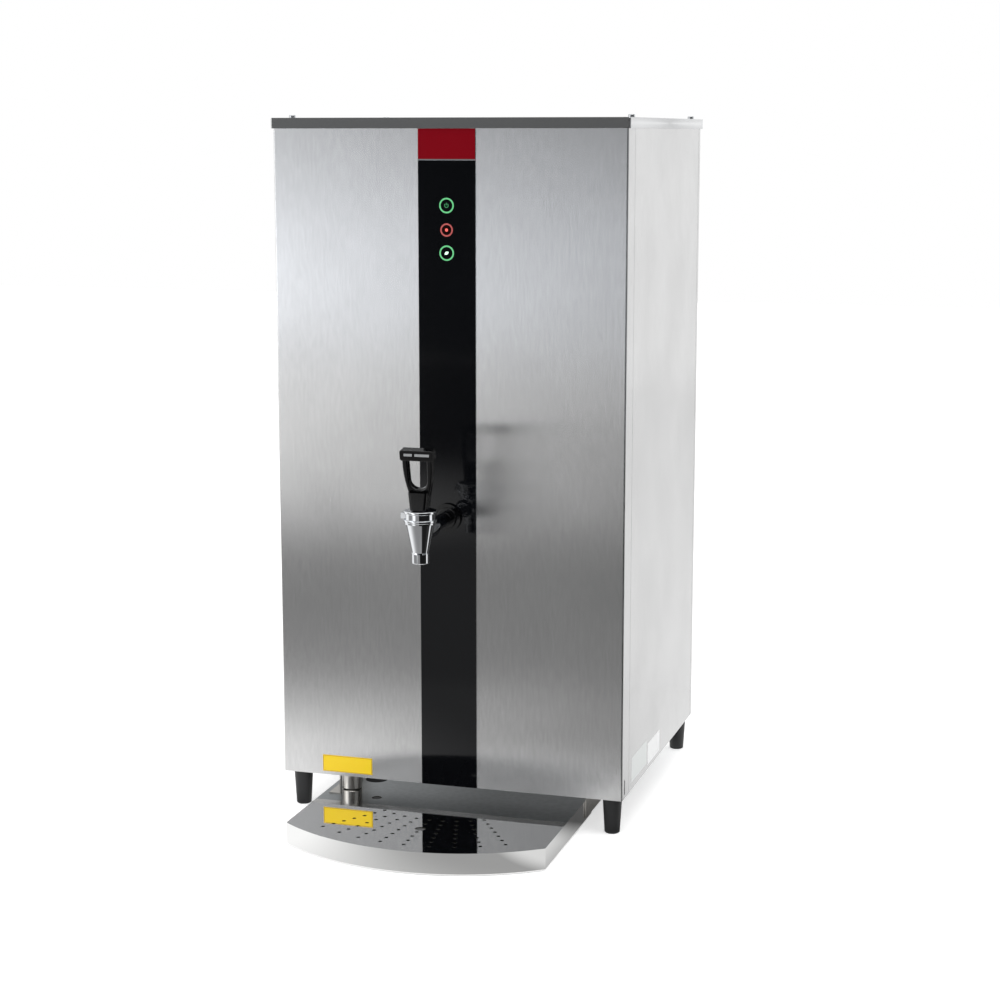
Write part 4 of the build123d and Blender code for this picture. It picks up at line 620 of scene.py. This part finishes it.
# The paper glows where the camera looks straight at it, and a little in mirrors, so that it is white
# there and still keeps the urn's shadow.
paper_sockets = {
    "Base Color": linear("#F2F2F2"),
    "Roughness": 0.9,
    "Specular IOR Level": 0.1,
    "Emission Color": (1, 1, 1, 1),
}
paper, paper_tree, paper_surface, _ = start_material("white_paper", paper_sockets)
paper_rays = add(paper_tree, "LightPath").outputs
in_mirrors = {"operation": "MULTIPLY", 1: 0.25}
mirrored = add(paper_tree, "Math", in_mirrors, {0: paper_rays["Is Glossy Ray"]}).outputs[0]
direct = {"operation": "MULTIPLY_ADD", 1: 0.5}
paper_glow = add(paper_tree, "Math", direct, {0: paper_rays["Is Camera Ray"], 2: mirrored})
paper_tree.links.new(paper_glow.outputs[0], paper_surface.inputs["Emission Strength"])
floor_mesh.materials.append(paper)

# The room is white, a tenth dimmer as a light than it looks.
world = bpy.data.worlds.new("studio")
bpy.context.scene.world = world
world.use_nodes = True
world_tree = world.node_tree
world_rays = add(world_tree, "LightPath").outputs
seen = world_rays["Is Camera Ray"]
for ray in ("Is Glossy Ray", "Is Transmission Ray"):
    seen = add(world_tree, "Math", {"operation": "MAXIMUM"}, {0: seen, 1: world_rays[ray]}).outputs[0]
brightness = add(world_tree, "MapRange", {"To Min": 0.9, "To Max": 1.0}, {"Value": seen})
backdrop = world_tree.nodes["Background"]
backdrop.inputs["Color"].default_value = (1, 1, 1, 1)
world_tree.links.new(brightness.outputs[0], backdrop.inputs["Strength"])


def softbox(name, place, aim, width, height, power):
    """Rectangular soft light at place, turned to aim."""
    light = bpy.data.lights.new(name, "AREA")
    light.shape = "RECTANGLE"
    light.size, light.size_y, light.energy = width, height, power
    lamp = bpy.data.objects.new(name, light)
    lamp.location = place
    lamp.rotation_euler = (Vector(aim) - Vector(place)).to_track_quat("-Z", "Y").to_euler()
    bpy.context.scene.collection.objects.link(lamp)


softbox("key_left", (-2.4, -2.2, 1.3), (0, 0, 0.4), 1.6, 2.2, 14)
softbox("top", (0.3, -0.6, 2.6), (0, 0, 0.4), 2.0, 2.0, 14)


def cloth(name, corners, colour):
    """Cloth that only polished faces see: it shapes their reflections and shades nothing. Returns its
    shader tree, its emission and its own X, Y and Z, for a gradient across it."""
    mesh = bpy.data.meshes.new(name)
    mesh.from_pydata(corners, [], [(0, 1, 2, 3)])
    material = bpy.data.materials.new(name)
    material.use_nodes = True
    tree = material.node_tree
    tree.nodes.remove(tree.nodes["Principled BSDF"])
    glow = add(tree, "Emission", {"Color": linear(colour), "Strength": 1.0})
    tree.links.new(glow.outputs[0], tree.nodes["Material Output"].inputs[0])
    axes = add(tree, "SeparateXYZ", {}, {0: add(tree, "TexCoord").outputs["Object"]})
    mesh.materials.append(material)
    piece = bpy.data.objects.new(name, mesh)
    bpy.context.scene.collection.objects.link(piece)
    piece.visible_camera = False
    piece.visible_diffuse = False
    piece.visible_shadow = False
    piece.visible_transmission = False
    return tree, glow, axes.outputs


def gradient(tree, operation, *parts):
    """Joins the parts of a gradient by one operation. A part is a shader value, or such a value with a
    soft step: where it starts and ends, and how bright the cloth is there."""
    joined = None
    for part in parts:
        if isinstance(part, tuple):
            value, start, end, first, last = part
            step = {
                "interpolation_type": "SMOOTHSTEP",
                "From Min": start, "From Max": end, "To Min": first, "To Max": last,
            }
            part = add(tree, "MapRange", step, {"Value": value}).outputs[0]
        if joined is not None:
            part = add(tree, "Math", {"operation": operation}, {0: joined, 1: part}).outputs[0]
        joined = part
    return joined


def off_middle(tree, value, middle):
    """How far a shader value is from a middle, to either side."""
    offset = add(tree, "Math", {"operation": "SUBTRACT", 1: middle}, {0: value}).outputs[0]
    return add(tree, "Math", {"operation": "ABSOLUTE"}, {0: offset}).outputs[0]


# Floor around the urn. It is dim from half a metre to a metre and a half out, bright beyond that on
# the left, black where the strip looks, bright beside the casing, and in shadow under it.
tree, glow, axes = cloth(
    "floor_cloth", [(-8, -4.6, 0.002), (6, -4.6, 0.002), (6, 0.5, 0.002), (-8, 0.5, 0.002)], "#FCFCFC"
)
across, back = axes["X"], axes["Y"]
bearing = add(tree, "Math", {"operation": "DIVIDE"}, {0: across, 1: back}).outputs[0]
slanted = add(tree, "Math", {"operation": "MULTIPLY_ADD", 1: -1.1}, {0: across, 2: back}).outputs[0]
near = gradient(
    tree, "MINIMUM",
    gradient(tree, "MAXIMUM", (slanted, -0.40, 0.0, 0.38, 1.19), (back, -0.10, 0.03, 0.0, 1.15)),
    (back, -0.72, -0.26, 0.29, 1.12),
)
tray_side = gradient(tree, "MINIMUM", (across, 0.11, 0.17, 0.2, 0.8), (back, -0.37, -0.28, 0.2, 0.8))
far = gradient(
    tree, "MULTIPLY",
    (bearing, 0.08, 0.56, 0.08, 1.62), (back, -1.95, -1.24, 0.95, 0.0), (back, -4.0, -2.2, 1.3, 1.0),
)
off_strip = gradient(
    tree, "MAXIMUM",
    (off_middle(tree, bearing, 0.312), 0.045, 0.08, 0.03, 1.0), (back, -2.7, -1.9, 0.03, 1.0),
)
off_right = gradient(tree, "MAXIMUM", (across, 0.21, 0.31, 1.0, 0.04), (back, -0.11, 0.02, 0.0, 1.0))
off_shadow = gradient(
    tree, "MAXIMUM",
    (off_middle(tree, across, 0.0), 0.16, 0.24, 0.0, 1.0), (across, -0.19, 0.02, 0.5, 0.13),
    (off_middle(tree, back, 0.05), 0.10, 0.20, 0.0, 1.0),
)
lit = gradient(tree, "MAXIMUM", near, tray_side, far)
tree.links.new(gradient(tree, "MULTIPLY", lit, off_strip, off_right, off_shadow), glow.inputs["Strength"])

# Wall behind the user: bright on the left, fading to the right and upwards, and black where the
# strip looks.
tree, glow, axes = cloth(
    "front_cloth", [(-6.0, -5.0, 0), (4.2, -4.2, 0), (4.2, -4.2, 4.0), (-6.0, -5.0, 4.0)], "#F2F6FD"
)
lit = gradient(
    tree, "MULTIPLY",
    (axes["X"], -3.6, -0.3, 2.2, 0.56), (axes["X"], -0.5, 0.7, 1.0, 0.08),
    (axes["Z"], 0.12, 1.05, 1.03, 0.22),
    (off_middle(tree, axes["X"], -1.475), 0.20, 0.36, 0.03, 1.0),
)
tree.links.new(lit, glow.inputs["Strength"])

# White cloth far behind on the right, for the side panel.
tree, glow, axes = cloth(
    "rear_cloth", [(-1.0, 4.2, 0), (5.0, 3.0, 0), (5.0, 3.0, 2.6), (-1.0, 4.2, 2.6)], "#FDFDFD"
)
glow.inputs["Strength"].default_value = 1.25

# Grey cloth on the right, which keeps that side of the plated tap from going white.
cloth("grey_cloth", [(2.6, -2.9, 0), (3.4, 0.6, 0), (3.4, 0.6, 2.4), (2.6, -2.9, 2.4)], "#77797B")

# ======== camera ========
# A 75 mm lens, 2.3 m from the urn's middle and to its right, 0.74 m above the counter.
camera_data = bpy.data.cameras.new("camera")
camera_data.sensor_width = 36.0
camera_data.lens = 75.43
camera = bpy.data.objects.new("camera", camera_data)
camera.matrix_world = (
    Matrix.Translation((0.6859, -2.1829, 0.7372))
    @ Matrix.Rotation(radians(16.842), 4, "Z")
    @ Matrix.Rotation(radians(90 - 9.908), 4, "X")
    @ Matrix.Rotation(radians(-0.007), 4, "Z")
)
bpy.context.scene.collection.objects.link(camera)
bpy.context.scene.camera = camera
bpy.context.scene.view_settings.view_transform = "Standard"
